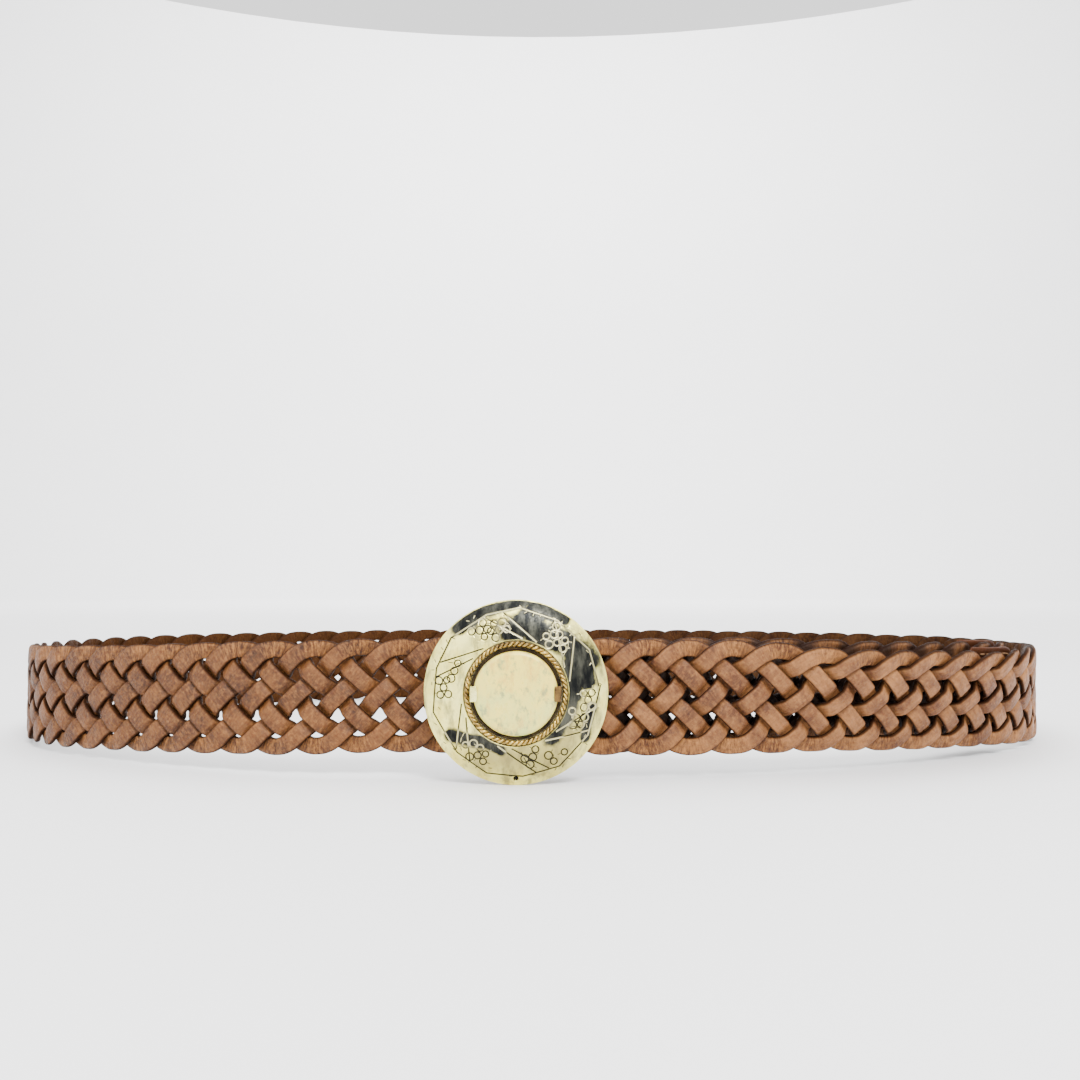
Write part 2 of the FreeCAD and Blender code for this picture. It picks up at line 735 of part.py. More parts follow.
def bail():
    """The wire bail: the bar that the thongs turn round, and two legs to the back plate."""
    body = new_body("bail", FreeCAD.Placement(BAR_POINT, FreeCAD.Rotation()))
    path = new_sketch(body, "YZ_Plane", "bail_path")
    half = value_of("bail_half")
    bend = value_of("bail_bend")
    stand = value_of("disc_stand")
    for i, side in enumerate((1, -1)):
        corner = FreeCAD.Vector(-bend, side * (half - bend), 0)
        turns = (0, math.pi / 2) if side == 1 else (-math.pi / 2, 0)
        leg = Part.LineSegment(
            FreeCAD.Vector(-stand, side * half, 0), FreeCAD.Vector(-bend, side * half, 0)
        )
        path.addGeometry(leg, False)
        path.addGeometry(Part.ArcOfCircle(Part.Circle(corner, UP, bend), *turns), False)
    bar = Part.LineSegment(FreeCAD.Vector(0, half - bend, 0), FreeCAD.Vector(0, bend - half, 0))
    path.addGeometry(bar, False)
    for leg, arc, side in ((0, 1, 1), (2, 3, -1)):
        arc_at_leg, arc_at_bar = (2, 1) if side == 1 else (1, 2)
        path.addConstraint(Sketcher.Constraint("Tangent", leg, 2, arc, arc_at_leg))
        path.addConstraint(Sketcher.Constraint("Tangent", arc, arc_at_bar, 4, 1 if side == 1 else 2))
    path.addConstraint(Sketcher.Constraint("PointOnObject", 4, 1, -2))
    path.addConstraint(Sketcher.Constraint("Symmetric", 0, 1, 2, 1, -1))
    path.addConstraint(Sketcher.Constraint("Equal", 1, 3))
    path.addConstraint(Sketcher.Constraint("Horizontal", 0))
    bind(path, "Radius", 1, 0, "bail_bend", "bend")
    index = path.addConstraint(Sketcher.Constraint("DistanceY", -1, 1, 0, 1, half))
    path.renameConstraint(index, "half")
    path.setExpression("Constraints.half", "dims.bail_half")
    index = path.addConstraint(Sketcher.Constraint("DistanceX", 0, 1, -1, 1, stand))
    path.renameConstraint(index, "stand")
    path.setExpression("Constraints.stand", "dims.disc_stand")
    wire = new_sketch(body, "XZ_Plane", "bail_section")
    wire.AttachmentOffset = FreeCAD.Placement(FreeCAD.Vector(0, 0, stand), FreeCAD.Rotation())
    wire.setExpression("AttachmentOffset.Base.z", "dims.disc_stand")
    wire.addGeometry(Part.Circle(FreeCAD.Vector(0, half, 0), UP, value_of("wire_radius")), False)
    wire.addConstraint(Sketcher.Constraint("PointOnObject", 0, 3, -2))
    bind(wire, "DistanceY", 0, 3, "bail_half", "height")
    bind(wire, "Radius", 0, 0, "wire_radius", "radius")
    pipe = body.newObject("PartDesign::AdditivePipe", "bail_wire")
    pipe.Profile = wire
    pipe.Spine = path
    pipe.Mode = "Frenet"
    path.Visibility = False
    wire.Visibility = False
    return body


def hook():
    """The hook: a pin bent round the bar's axis, with a round tip, and the pad at its root."""
    away = HOLE_POINT - BAR_POINT
    bend = math.hypot(away.x, away.y)
    # The pin's root ends inside its pad.
    root = math.degrees(math.asin((dim("disc_stand") - dim("pad_thick") / 2) / bend))
    tip = math.degrees(math.asin((dim("hook_reach") - dim("disc_stand")) / bend))
    centre = FreeCAD.Vector(BAR_POINT.x, BAR_POINT.y, HOLE_POINT.z)
    pin = doc.addObject("Part::Torus", "hook_pin")
    pin.Radius1 = bend
    pin.setExpression("Radius2", "dims.hook_radius")
    pin.Angle3 = root + tip
    pin.Placement = FreeCAD.Placement(centre, FreeCAD.Rotation(UP, 180 - tip))
    end = doc.addObject("Part::Sphere", "hook_tip")
    end.setExpression("Radius", "dims.hook_radius")
    tip_angle = math.radians(180 - tip)
    end.Placement.Base = centre + FreeCAD.Vector(math.cos(tip_angle), math.sin(tip_angle), 0) * bend
    joined = doc.addObject("Part::Fuse", "hook")
    joined.Base = pin
    joined.Tool = end
    joined.Label = "hook"
    pad = doc.addObject("Part::Cylinder", "hook_pad")
    pad.Label = "hook_pad"
    pad.setExpression("Radius", "dims.pad_radius")
    pad.setExpression("Height", "dims.pad_thick")
    root_x = centre.x - bend * math.cos(math.radians(root))
    pad.Placement = FreeCAD.Placement(
        FreeCAD.Vector(root_x, DISC_BACK, centre.z), FreeCAD.Rotation(FreeCAD.Vector(1, 0, 0), -90)
    )
    return [joined, pad]


# ------------------------------------------------------------------ every piece

pieces = [
    disc_cylinder("back_plate", "disc_radius", "plate_thick", "0"),
    dome(),
    cup(),
    disc_cylinder(
        "stone_bed", "cup_radius - cup_wall - bed_gap", "bed_height", "plate_thick + plate_thick"
    ),
    stone(),
    claw("claw_left", 0),
    claw("claw_right", 180),
    rope_ring(),
    bail(),
]
pieces += hook()
for number, name in enumerate(("bottom", "middle", "top")):
    pieces.append(add_shape("thong_" + name, buckle_thong(number)))
for strand in range(STRANDS):
    pieces.append(add_shape(f"waist_strand_{strand + 1}", waist_strand(strand)))
    pieces.append(add_shape(f"tail_strand_{strand + 1}", tail_strand(strand)))
pieces.append(add_shape("tip_outer_ply", tip_ply(1)))
pieces.append(add_shape("tip_inner_ply", tip_ply(-1)))
pieces.append(add_shape("tip_stitches", tip_stitches()))
doc.recompute()

for item in doc.Objects:
    for state in ("Invalid", "Error"):
        if state in item.State:
            raise RuntimeError(f"{item.Name} is {state}")
for item in pieces:
    if item.Shape.isNull() or not item.Shape.isValid():
        raise RuntimeError(f"{item.Label} has no valid shape")

os.makedirs("parts", exist_ok=True)
for item in pieces:
    item.Shape.exportStep(f"parts/{item.Label}.step")
    print(f"{item.Label:18s} {item.Shape.Volume:10.1f} mm3")
for name, spot in (
    ("bar", BAR_POINT),
    ("hole", HOLE_POINT),
    ("buckle flex", place(FLEX, 0, STRAP_HALF_THICK)),
    ("tail flex", place(TAIL_START, 0, -STRAP_HALF_THICK)),
):
    print(f"{name:12s} {spot.x:8.2f} {spot.y:8.2f} {spot.z:8.2f}")
print(f"perimeter {PERIMETER:.2f} pitch {PITCH:.4f} strap {2 * HALF_STRAP:.2f} shift {LOOP_SHIFT:.3f}")
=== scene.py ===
import json
import math

import bpy
import numpy as np
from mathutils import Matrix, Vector


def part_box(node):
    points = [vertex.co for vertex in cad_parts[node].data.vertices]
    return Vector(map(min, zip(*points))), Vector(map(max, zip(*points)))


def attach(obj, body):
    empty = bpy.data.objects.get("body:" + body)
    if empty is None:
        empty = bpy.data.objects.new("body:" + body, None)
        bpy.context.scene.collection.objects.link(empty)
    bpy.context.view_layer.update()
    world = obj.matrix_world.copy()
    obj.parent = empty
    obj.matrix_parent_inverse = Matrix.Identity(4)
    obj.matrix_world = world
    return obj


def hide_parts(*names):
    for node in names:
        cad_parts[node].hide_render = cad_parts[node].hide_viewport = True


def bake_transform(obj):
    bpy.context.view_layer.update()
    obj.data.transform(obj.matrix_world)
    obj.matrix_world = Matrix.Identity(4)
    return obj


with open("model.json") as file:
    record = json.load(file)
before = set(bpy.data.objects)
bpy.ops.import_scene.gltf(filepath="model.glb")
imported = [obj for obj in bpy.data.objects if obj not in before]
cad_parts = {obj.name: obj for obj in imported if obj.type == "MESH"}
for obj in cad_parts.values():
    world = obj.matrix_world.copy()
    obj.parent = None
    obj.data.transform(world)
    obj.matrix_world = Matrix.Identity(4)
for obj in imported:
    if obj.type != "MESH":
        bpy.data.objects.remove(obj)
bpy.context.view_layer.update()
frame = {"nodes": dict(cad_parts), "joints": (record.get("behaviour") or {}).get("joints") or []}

# A braided leather belt with a round hook buckle. Sizes are in millimetres until a mesh is
# made, where MM turns them into metres. Strap coordinates are the CAD model's: s runs along
# the loop from the front centre towards +X, v across the strap from its middle, upwards,
# and w outwards.

MM = 0.001

# ------------------------------------------------------------- the loop's path

HALF_WIDTH = 196
HALF_DEPTH = 120
SIDE_RADIUS = 85
FRONT_RADIUS = (
    (HALF_WIDTH**2 + HALF_DEPTH**2 - 2 * HALF_WIDTH * SIDE_RADIUS) / (2 * (HALF_DEPTH - SIDE_RADIUS))
)
SIDE_CENTRE = HALF_WIDTH - SIDE_RADIUS
FRONT_CENTRE = FRONT_RADIUS - HALF_DEPTH
FRONT_ANGLE = math.atan2(SIDE_CENTRE, FRONT_CENTRE)
FRONT_ARC = FRONT_RADIUS * FRONT_ANGLE
SIDE_ARC = SIDE_RADIUS * (math.pi - 2 * FRONT_ANGLE)
PERIMETER = 4 * FRONT_ARC + 2 * SIDE_ARC
FRONT_LIFT = 7.5
LIFT_REACH = 280
LEAN = math.radians(22)
LEAN_START, LEAN_FULL, LEAN_FADING, LEAN_GONE = 45, 100, 150, 215

# ------------------------------------------------------------------- the braid

STRANDS = 6
BAR = 11
FOLD_RADIUS = 2.6
FIRST_CROSSING = BAR + 3.4
CENTRE_HOLE = PERIMETER - 15
PITCH = (CENTRE_HOLE - FIRST_CROSSING) / 74.5
STEP = PITCH / 2
HALF_STRAND = 2.6
HALF_THICK = 1.0
WEAVE = 1.15
TURN_RADIUS = 10
SWING = 18.6
SLOPE = SWING / (3 * STEP)
SLOPE_ANGLE = math.atan(SLOPE)
TURN_HALF = TURN_RADIUS * math.sin(SLOPE_ANGLE)
TURN_TOP = SWING + TURN_RADIUS * (1 - 1 / math.cos(SLOPE_ANGLE))
HALF_STRAP = TURN_TOP + HALF_STRAND
STRAP_HALF_THICK = WEAVE + HALF_THICK

TAIL_OFFSET = 6
INSET_START = PERIMETER - 82
INSET_FULL = PERIMETER - 30
TIP_OFFSET = 1.2
TIP_RUN = 25
TAIL_END = PERIMETER + 182
STRANDS_SHORT = 12
PLY_START = TAIL_END - 36
PLY_HALF = 17
PLY_THICK = 1.3
PLY_GAP = 0.1
PLY_CLOSING = 1.5
STITCH_INSET = 2.2
STITCH_PITCH = 3.4
STITCH_HALF = 1.15
STITCH_BULGE = 0.22
STITCH_RADIUS = 0.3

# --------------------------------------------------------- the buckle's measures

DISC_RADIUS = 27
PLATE_THICK = 0.8
DOME_HEIGHT = 4.4
DOME_THICK = 1
DOME_INNER = 15.2
ROPE_RADIUS = 14.25
ROPE_THICK = 0.83
STONE_BASE = 2 * PLATE_THICK + 2.2
STONE_RADIUS = 12.3
STONE_SIDE = 1.8
STONE_EDGE = 1.4
STONE_CROWN = 0.5


def between_columns(s):
    """The place nearest below s that is midway between two columns of crossings."""
    return FIRST_CROSSING + STEP * (math.floor((s - FIRST_CROSSING) / STEP) + 0.5)


STRANDS_END = between_columns(TAIL_END - STRANDS_SHORT)


def smooth(low, high, value):
    """0 below low, 1 above high and a smooth step between."""
    part = np.clip((np.asarray(value, float) - low) / (high - low), 0, 1)
    return part * part * (3 - 2 * part)


def unit(vectors):
    """Vectors of length 1 with the same directions."""
    return vectors / np.linalg.norm(vectors, axis=-1)[..., None]


KNOTS = 4096


def wander(places, spacing, seed):
    """Smooth random values from -1 to 1, with a knot at every spacing."""
    knots = np.random.RandomState(seed).uniform(-1, 1, KNOTS)
    knot_place = np.asarray(places, float) / spacing + 100
    index = np.floor(knot_place).astype(int)
    part = smooth(0, 1, knot_place - index)
    return knots[index % KNOTS] * (1 - part) + knots[(index + 1) % KNOTS] * part


def heading(s):
    """Arc centre, radius and angle of the loop at each s, the angle counted from the front."""
    s = np.asarray(s, float) % PERIMETER
    starts = np.cumsum([0, FRONT_ARC, SIDE_ARC, 2 * FRONT_ARC, SIDE_ARC])
    radii = np.array([FRONT_RADIUS, SIDE_RADIUS, FRONT_RADIUS, SIDE_RADIUS, FRONT_RADIUS])
    centres = np.array(
        [(0, FRONT_CENTRE), (SIDE_CENTRE, 0), (0, -FRONT_CENTRE), (-SIDE_CENTRE, 0), (0, FRONT_CENTRE)]
    )
    angles = np.array(
        [0, FRONT_ANGLE, math.pi - FRONT_ANGLE, math.pi + FRONT_ANGLE, 2 * math.pi - FRONT_ANGLE]
    )
    part = np.clip(np.searchsorted(starts, s, side="right") - 1, 0, 4)
    return centres[part], radii[part], angles[part] + (s - starts[part]) / radii[part]


def lift(s):
    """Height of the strap's lower edge above the ground."""
    s = np.asarray(s, float) % PERIMETER
    away = np.minimum(np.minimum(s, PERIMETER - s), LIFT_REACH)
    return FRONT_LIFT * np.cos(math.pi * away / (2 * LIFT_REACH)) ** 2


def lean(s):
    """Outward lean of the strap from upright."""
    s = np.asarray(s, float) % PERIMETER
    return LEAN * smooth(LEAN_START, LEAN_FULL, s) * (1 - smooth(LEAN_FADING, LEAN_GONE, s))


def tail_inset(s):
    """Distance of the strap inside the loop's path."""
    under_buckle = smooth(INSET_START, INSET_FULL, s)
    return TAIL_OFFSET * under_buckle + TIP_OFFSET * smooth(PLY_START - TIP_RUN, PLY_START, s)


def directions(s):
    """The strap's own directions at each s: along the loop, up across the strap, outwards."""
    angle = heading(s)[2]
    zero = np.zeros_like(angle)
    along = np.stack([np.cos(angle), np.sin(angle), zero], -1)
    level = np.stack([np.sin(angle), -np.cos(angle), zero], -1)
    up = np.array([0, 0, 1.0])
    tilt = lean(s)[..., None]
    return along, up * np.cos(tilt) + level * np.sin(tilt), level * np.cos(tilt) - up * np.sin(tilt)


def joint_spot(name):
    """A joint's point at rest, in metres."""
    return Vector(next(one for one in frame["joints"] if one["name"] == name)["pos_m"])


# The loop sits back so that the footprint of loop and buckle is centred on the origin.
BAR_POINT = joint_spot("buckle_pivot") / MM
LOOP_SHIFT = BAR_POINT.y - (FRONT_CENTRE - FRONT_RADIUS * math.cos(BAR / FRONT_RADIUS))


def place(s, v, w):
    """The points of the strap at s, v and w. The strap leans about its lower edge."""
    s = np.asarray(s, float)
    centre, radius, angle = heading(s)
    upward, outward = directions(s)[1:]
    foot = np.stack(
        [
            centre[..., 0] + radius * np.sin(angle),
            centre[..., 1] - radius * np.cos(angle) + LOOP_SHIFT,
            lift(s) + STRAP_HALF_THICK * np.sin(lean(s)),
        ],
        -1,
    )
    rise = np.asarray(HALF_STRAP + v, float)[..., None]
    reach = np.asarray(w - tail_inset(s), float)[..., None]
    return foot + upward * rise + outward * reach


def across(phase):
    """v of a strand at each phase: up for 6 crossings, then down for 6, with round turns."""
    phase = np.asarray(phase, float) % 12
    away = np.abs(phase - 6) * STEP
    side = np.where(away <= 3 * STEP, 1, -1)
    away = np.where(side > 0, away, 6 * STEP - away)
    turn = TURN_TOP - TURN_RADIUS + np.sqrt(np.maximum(TURN_RADIUS**2 - away**2, 0))
    return side * np.where(away < TURN_HALF, turn, SWING - away * SLOPE)


def crossing_side(phase):
    """+1 where a strand passes outside at a crossing, -1 inside, 0 at a turn."""
    phase = np.asarray(phase, int) % 12
    outside = (phase % 2 == 1) ^ (phase > 6)
    return np.where((phase == 0) | (phase == 6), 0, np.where(outside, 1, -1))


STEP_START = 0.31
STEP_STOP = 0.69
ARCH = 0.16


def through(phase):
    """w of a strand: a low arch over each crossing, with a smooth step between two."""
    low = np.floor(phase).astype(int)
    part = phase - low
    here = crossing_side(low)
    after = crossing_side(low + 1)
    step = smooth(STEP_START, STEP_STOP, part)
    step = np.where(here == 0, smooth(0, STEP_STOP, part), step)
    step = np.where(after == 0, smooth(STEP_START, 1, part), step)
    arch = ARCH * np.where(part < 0.5, here, after) * np.cos(math.pi * part) ** 2
    return WEAVE * (here * (1 - step) + after * step) + arch


def phase_at(strand, s):
    """Phase of a strand at s: odd numbers at the first crossings."""
    return (np.asarray(s, float) - FIRST_CROSSING) / STEP + 2 * strand + 1


def slope_of(phase):
    """dv/ds of a strand at each phase."""
    nudge = 0.02
    return (across(phase + nudge) - across(phase - nudge)) / (2 * nudge * STEP)


# ------------------------------------------------------------------ mesh making


def add_object(name, points, faces):
    """A smooth-shaded mesh object from points in millimetres."""
    mesh = bpy.data.meshes.new(name)
    mesh.from_pydata((np.asarray(points) * MM).tolist(), [], faces)
    mesh.polygons.foreach_set("use_smooth", [True] * len(mesh.polygons))
    mesh.update()
    item = bpy.data.objects.new(name, mesh)
    bpy.context.scene.collection.objects.link(item)
    return item


def tube_faces(rings, ring_size, closed=False, first=0):
    """Quads between rings of points, with a fan over each end unless closed."""
    faces = []
    for i in range(rings if closed else rings - 1):
        a = first + i * ring_size
        b = first + (i + 1) % rings * ring_size
        for k in range(ring_size):
            n = (k + 1) % ring_size
            faces.append((a + k, a + n, b + n, b + k))
    if not closed:
        centre = first + rings * ring_size
        last = first + (rings - 1) * ring_size
        for k in range(ring_size):
            n = (k + 1) % ring_size
            faces.append((centre, first + n, first + k))
            faces.append((centre + 1, last + k, last + n))
    return faces


def tube_points(rings):
    """The points of open rings in order, then the two ends' middles."""
    ends = np.stack([rings[0].mean(0), rings[-1].mean(0)])
    return np.concatenate([rings.reshape(-1, 3), ends])


def set_attribute(item, name, values):
    """Stores one number for each point, for the materials to read."""
    attribute = item.data.attributes.new(name, "FLOAT", "POINT")
    attribute.data.foreach_set("value", np.asarray(values, np.float32))


def superellipse(count, flat_x, flat_y):
    """Points round a closed section: 2 is an ellipse, higher is flatter with rounder corners."""
    angle = np.linspace(0, 2 * math.pi, count, endpoint=False) + math.pi / count
    c, s = np.cos(angle), np.sin(angle)
    return np.stack([np.sign(c) * np.abs(c) ** (2 / flat_x), np.sign(s) * np.abs(s) ** (2 / flat_y)], -1)


# ----------------------------------------------------------------- the strands

SAMPLES_PER_STEP = 12
LEATHER_SECTION = superellipse(26, 5.5, 2.6)

# How much wider than its plain width a strand lies: everywhere, in the back and the left of the
# loop, and in the tail that the outer strap covers.
PLAIN_SPREAD = 0.08
WIDE_SPREAD = 0.24
WIDE_FROM, WIDE_FULL = 120, 230
WIDE_FADING, WIDE_GONE = PERIMETER - 100, PERIMETER - 60
TAIL_SPREAD = 0.28
TAIL_WIDENS = PERIMETER - 25
# Where the painted shadow on the tail behind the outer strap starts and where it is full.
TAIL_SHADOW_START, TAIL_SHADOW_FULL = PERIMETER - 24, PERIMETER - 4

# How a hand-made strand strays, as an amount, a spacing along it and the first strand's seed.
SIDEWAYS = (0.22, 27, 10)
OUTWARDS = (0.05, 11, 30)
WIDTHS = (0.035, 19, 50)
ROLLS = (0.05, 13, 70)
CREASES = (0.10, 1.7, 90)
THICKNESSES = (0.045, 6, 110)


def stray(kind, places, strand):
    """A strand's own smooth random change of one kind at each place."""
    amount, spacing, seed = kind
    return amount * wander(places, spacing, seed + strand)


def strand_path(strand, s):
    """v, w, slope, width and turn of a strand in the plain braid, a little uneven as by hand."""
    phase = phase_at(strand, s)
    v = across(phase)
    w = through(phase)
    slope = slope_of(phase)
    turn = smooth(0, 1, 1 - np.abs((phase + 3) % 6 - 3) / 1.1)
    s = np.asarray(s, float)
    wide = smooth(WIDE_FROM, WIDE_FULL, s) * (1 - smooth(WIDE_FADING, WIDE_GONE, s))
    spread = PLAIN_SPREAD + WIDE_SPREAD * wide + TAIL_SPREAD * smooth(TAIL_WIDENS, PERIMETER, s)
    width = 1 + (spread + stray(WIDTHS, s, strand)) * (1 - turn)
    return v + stray(SIDEWAYS, s, strand), w + stray(OUTWARDS, s, strand), slope, width, turn


def strand_frames(strand, s, v, w, slope, width, turn):
    """Everything that a strand's mesh needs at each s, in one dictionary of arrays."""
    rise = 1 / np.hypot(1, slope)
    side = unit(place(s - slope * rise, v + rise, w) - place(s + slope * rise, v - rise, w))
    # The section stands square to the strand as it rises and falls through the braid.
    forward = unit(np.gradient(place(s, v, w), axis=0))
    side = unit(side - forward * (side * forward).sum(1)[:, None])
    normal = np.cross(side, forward)
    normal *= np.sign((normal * directions(s)[2]).sum(1))[:, None]
    # A slight roll, because no hand-pulled strand lies quite flat.
    roll = stray(ROLLS, s, strand)[:, None]
    return {
        "middle": place(s, v, w),
        "side": side * np.cos(roll) + normal * np.sin(roll),
        "normal": normal * np.cos(roll) - side * np.sin(roll),
        "width": width,
        "turn": turn,
        "facing": np.ones(len(s)),
        "s": np.asarray(s, float),
    }


def reversed_frames(frames):
    """The same frames walked backwards."""
    return {key: value[::-1] for key, value in frames.items()}


def joined_frames(parts):
    """Frames one after another."""
    return {key: np.concatenate([part[key] for part in parts]) for key in parts[0]}


def leather_strand(name, frames, seed):
    """A strand's mesh: a soft-edged ribbon, with creases where it turns at the strap's edge."""
    section_x = LEATHER_SECTION[:, 0]
    section_y = LEATHER_SECTION[:, 1]
    middles = frames["middle"]
    steps = np.linalg.norm(np.diff(middles, axis=0), axis=1)
    length = np.concatenate([[0], np.cumsum(steps)]) + 37.0 * seed
    turn = frames["turn"][:, None]
    crease = turn * (stray(CREASES, length, seed) - 0.03)[:, None]
    uneven = stray(THICKNESSES, length, seed)[:, None]
    crown = 1 - 0.10 * section_x**2
    half_thick = (HALF_THICK * crown * section_y) * (1 + 0.06 * turn)
    half_thick = half_thick + (crease + uneven) * np.abs(section_y)
    half_width = HALF_STRAND * frames["width"][:, None] * section_x
    rings = (
        middles[:, None, :]
        + frames["side"][:, None, :] * half_width[..., None]
        + frames["normal"][:, None, :] * half_thick[..., None]
    )
    count = len(rings)
    item = add_object(name, tube_points(rings), tube_faces(count, len(section_x)))
    ends = [0, -1]

    def per_point(values):
        return np.concatenate([np.repeat(values, len(section_x)), values[ends]])

    face = np.outer(frames["facing"], section_y).ravel()
    set_attribute(item, "along", per_point(length))
    set_attribute(item, "across", np.concatenate([np.tile(section_x, count), [0, 0]]))
    set_attribute(item, "face", np.concatenate([face, [0, 0]]))
    set_attribute(item, "turn", per_point(frames["turn"]))
    # Painted light: 0 on the loop's left and 1 on its right, so the materials paint the right lighter
    # outside and darker inside.
    set_attribute(item, "light_side", per_point(0.5 + 0.5 * np.sin(heading(frames["s"])[2])))
    # Painted shadow on the tail behind the outer strap.
    set_attribute(item, "tail_shadow", per_point(smooth(TAIL_SHADOW_START, TAIL_SHADOW_FULL, frames["s"])))
    set_attribute(item, "seed", np.full(count * len(section_x) + 2, float(seed)))
    return item


def samples(start, end):
    """Even places from start to end, close enough for a smooth strand."""
    return np.linspace(start, end, round((end - start) / STEP * SAMPLES_PER_STEP) + 1)


def back_cut(strand):
    """Where a strand's two pieces meet at the back, hidden under another strand."""
    middle = PERIMETER / 2
    base = math.floor((middle - FIRST_CROSSING) / STEP)
    for step in range(base, base + 12):
        s = FIRST_CROSSING + STEP * step
        if crossing_side(round(float(phase_at(strand, s)))) < 0:
            return s


LEG_SAMPLES = 18
CLOSED_BY = 5 / 9
WOVEN_BY = 7 / 9


def leg(strand, fold_v, fold_w):
    """Frames of a thong's leg, from the bar to the back."""
    join = FIRST_CROSSING + STEP
    end = float(phase_at(strand, join))
    end_v = float(across(end))
    bend = float(slope_of(end)) * (join - BAR)
    rise = end_v - fold_v
    part = np.linspace(0, 1, LEG_SAMPLES, endpoint=False)
    v = fold_v + (3 * rise - bend) * part**2 + (bend - 2 * rise) * part**3
    slope = (2 * (3 * rise - bend) * part + 3 * (bend - 2 * rise) * part**2) / (join - BAR)
    s = BAR + (join - BAR) * part
    at_crossing = math.copysign(WEAVE + 0.1, fold_w)
    w = fold_w + (at_crossing - fold_w) * smooth(0, CLOSED_BY, part)
    w += (float(through(end)) - at_crossing) * smooth(CLOSED_BY, WOVEN_BY, part)
    # The hand-made unevenness of the braid fades in past the bar.
    braid_v, _, _, width, turn = strand_path(strand, s)
    fade = smooth(0, 1, part)
    v += (braid_v - across(phase_at(strand, s))) * fade
    width = 1 + (width - 1) * fade
    near = strand_frames(strand, s, v, w, slope, width, turn * fade)
    s = samples(join, back_cut(strand))
    return joined_frames([near, strand_frames(strand, s, *strand_path(strand, s))])


def buckle_thong(number, name):
    """A thong doubled round the bar: its outer leg climbs and its inner leg descends."""
    rising = number
    falling = STRANDS - 1 - number
    fold_v = float(across(2 * number + 1))
    outer = leg(rising, fold_v, FOLD_RADIUS)
    inner = leg(falling, fold_v, -FOLD_RADIUS)
    along, upward, outward = (one[0] for one in directions(np.array([float(BAR)])))
    angle = np.radians(np.arange(8, 176, 8))[:, None]
    turned = outward * np.cos(angle) - along * np.sin(angle)
    count = len(angle)
    fold = {
        "middle": place(np.array([float(BAR)]), fold_v, 0) + turned * FOLD_RADIUS,
        "side": np.repeat(upward[None], count, 0),
        "normal": turned,
        "width": np.ones(count),
        "turn": np.full(count, 0.6),
        "facing": np.cos(angle[:, 0]),
        "s": np.full(count, float(BAR)),
    }
    # Past the fold the thong's outer face looks inwards.
    inner["normal"] = -inner["normal"]
    inner["facing"] = -inner["facing"]
    return leather_strand(name, joined_frames([reversed_frames(outer), fold, inner]), 7 + number)


def make_strands(material):
    """The three thongs with their right halves of the braid, and the six left halves."""
    for number, name in enumerate(("bottom", "middle", "top")):
        item = buckle_thong(number, "thong_" + name + "_run")
        item.data.materials.append(material)
        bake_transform(item)
        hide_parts("thong_" + name)
    for strand in range(STRANDS):
        s = samples(back_cut(strand), STRANDS_END)
        frames = strand_frames(strand, s, *strand_path(strand, s))
        item = leather_strand(f"strand_run_{strand + 1}", frames, strand)
        item.data.materials.append(material)
        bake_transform(item)
        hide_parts(f"waist_strand_{strand + 1}", f"tail_strand_{strand + 1}")


# --------------------------------------------------------------------- the tip


def ply_middle(s):
    """Distance of a ply's middle from the strap's: outside the braid, then closing to the tip."""
    over_braid = STRAP_HALF_THICK + PLY_GAP + PLY_THICK / 2
    closed = PLY_GAP / 2 + PLY_THICK / 2
    return over_braid + (closed - over_braid) * smooth(STRANDS_END + PLY_CLOSING, TAIL_END, s)


def tip_ply(name, side):
    """One leaf of the leather tip, with a rounded end and soft edges."""
    round_start = TAIL_END - PLY_HALF
    angle = np.radians(np.arange(0, 88.1, 2))
    straight = np.linspace(PLY_START, round_start, 40, endpoint=False)
    s = np.concatenate([straight, round_start + PLY_HALF * np.sin(angle)])
    half = np.concatenate([np.full(len(straight), float(PLY_HALF)), PLY_HALF * np.cos(angle)])
    section = superellipse(72, 14, 2.4)
    upward, outward = directions(s)[1:]
    middle = place(s, 0, side * ply_middle(s))
    wave = 0.08 * wander(s, 5, 5 + side)
    thick = (PLY_THICK / 2 - 0.02 + wave * 0.5)[:, None] * section[:, 1]
    # A shallow channel is pressed into the leaf along the stitches.
    from_line = np.abs(half[:, None] * (np.abs(section[:, 0]) - 1)) - STITCH_INSET
    channel = 0.12 * np.exp(-(from_line / 0.5) ** 2)
    thick -= channel * np.sign(section[:, 1]) * (np.abs(section[:, 1]) > 0.5)
    rings = (
        middle[:, None]
        + upward[:, None] * (half[:, None] * section[:, 0])[..., None]
        + outward[:, None] * thick[..., None]
    )
    item = add_object(name + "_leaf", tube_points(rings), tube_faces(len(s), len(section)))
    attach(item, "tail_end")
    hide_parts(name)
    return item


def capsule(start, end, bulge, radius, rings=9, around=8):
    """Rings of one stitch: a short thread that bows outwards between its two holes."""
    start, end, bulge = (np.asarray(one, float) for one in (start, end, bulge))
    part = np.linspace(0, 1, rings)[:, None]
    middle = start + (end - start) * part + bulge * np.sin(math.pi * part)
    forward = (end - start) / np.linalg.norm(end - start)
    normal = bulge / np.linalg.norm(bulge)
    side = np.cross(forward, normal)
    angle = np.linspace(0, 2 * math.pi, around, endpoint=False)[None, :, None]
    size = radius * np.sqrt(np.clip(1 - (2 * part - 1) ** 6, 0.08, 1))[:, None]
    return middle[:, None] + (side * np.cos(angle) + normal * np.sin(angle)) * size


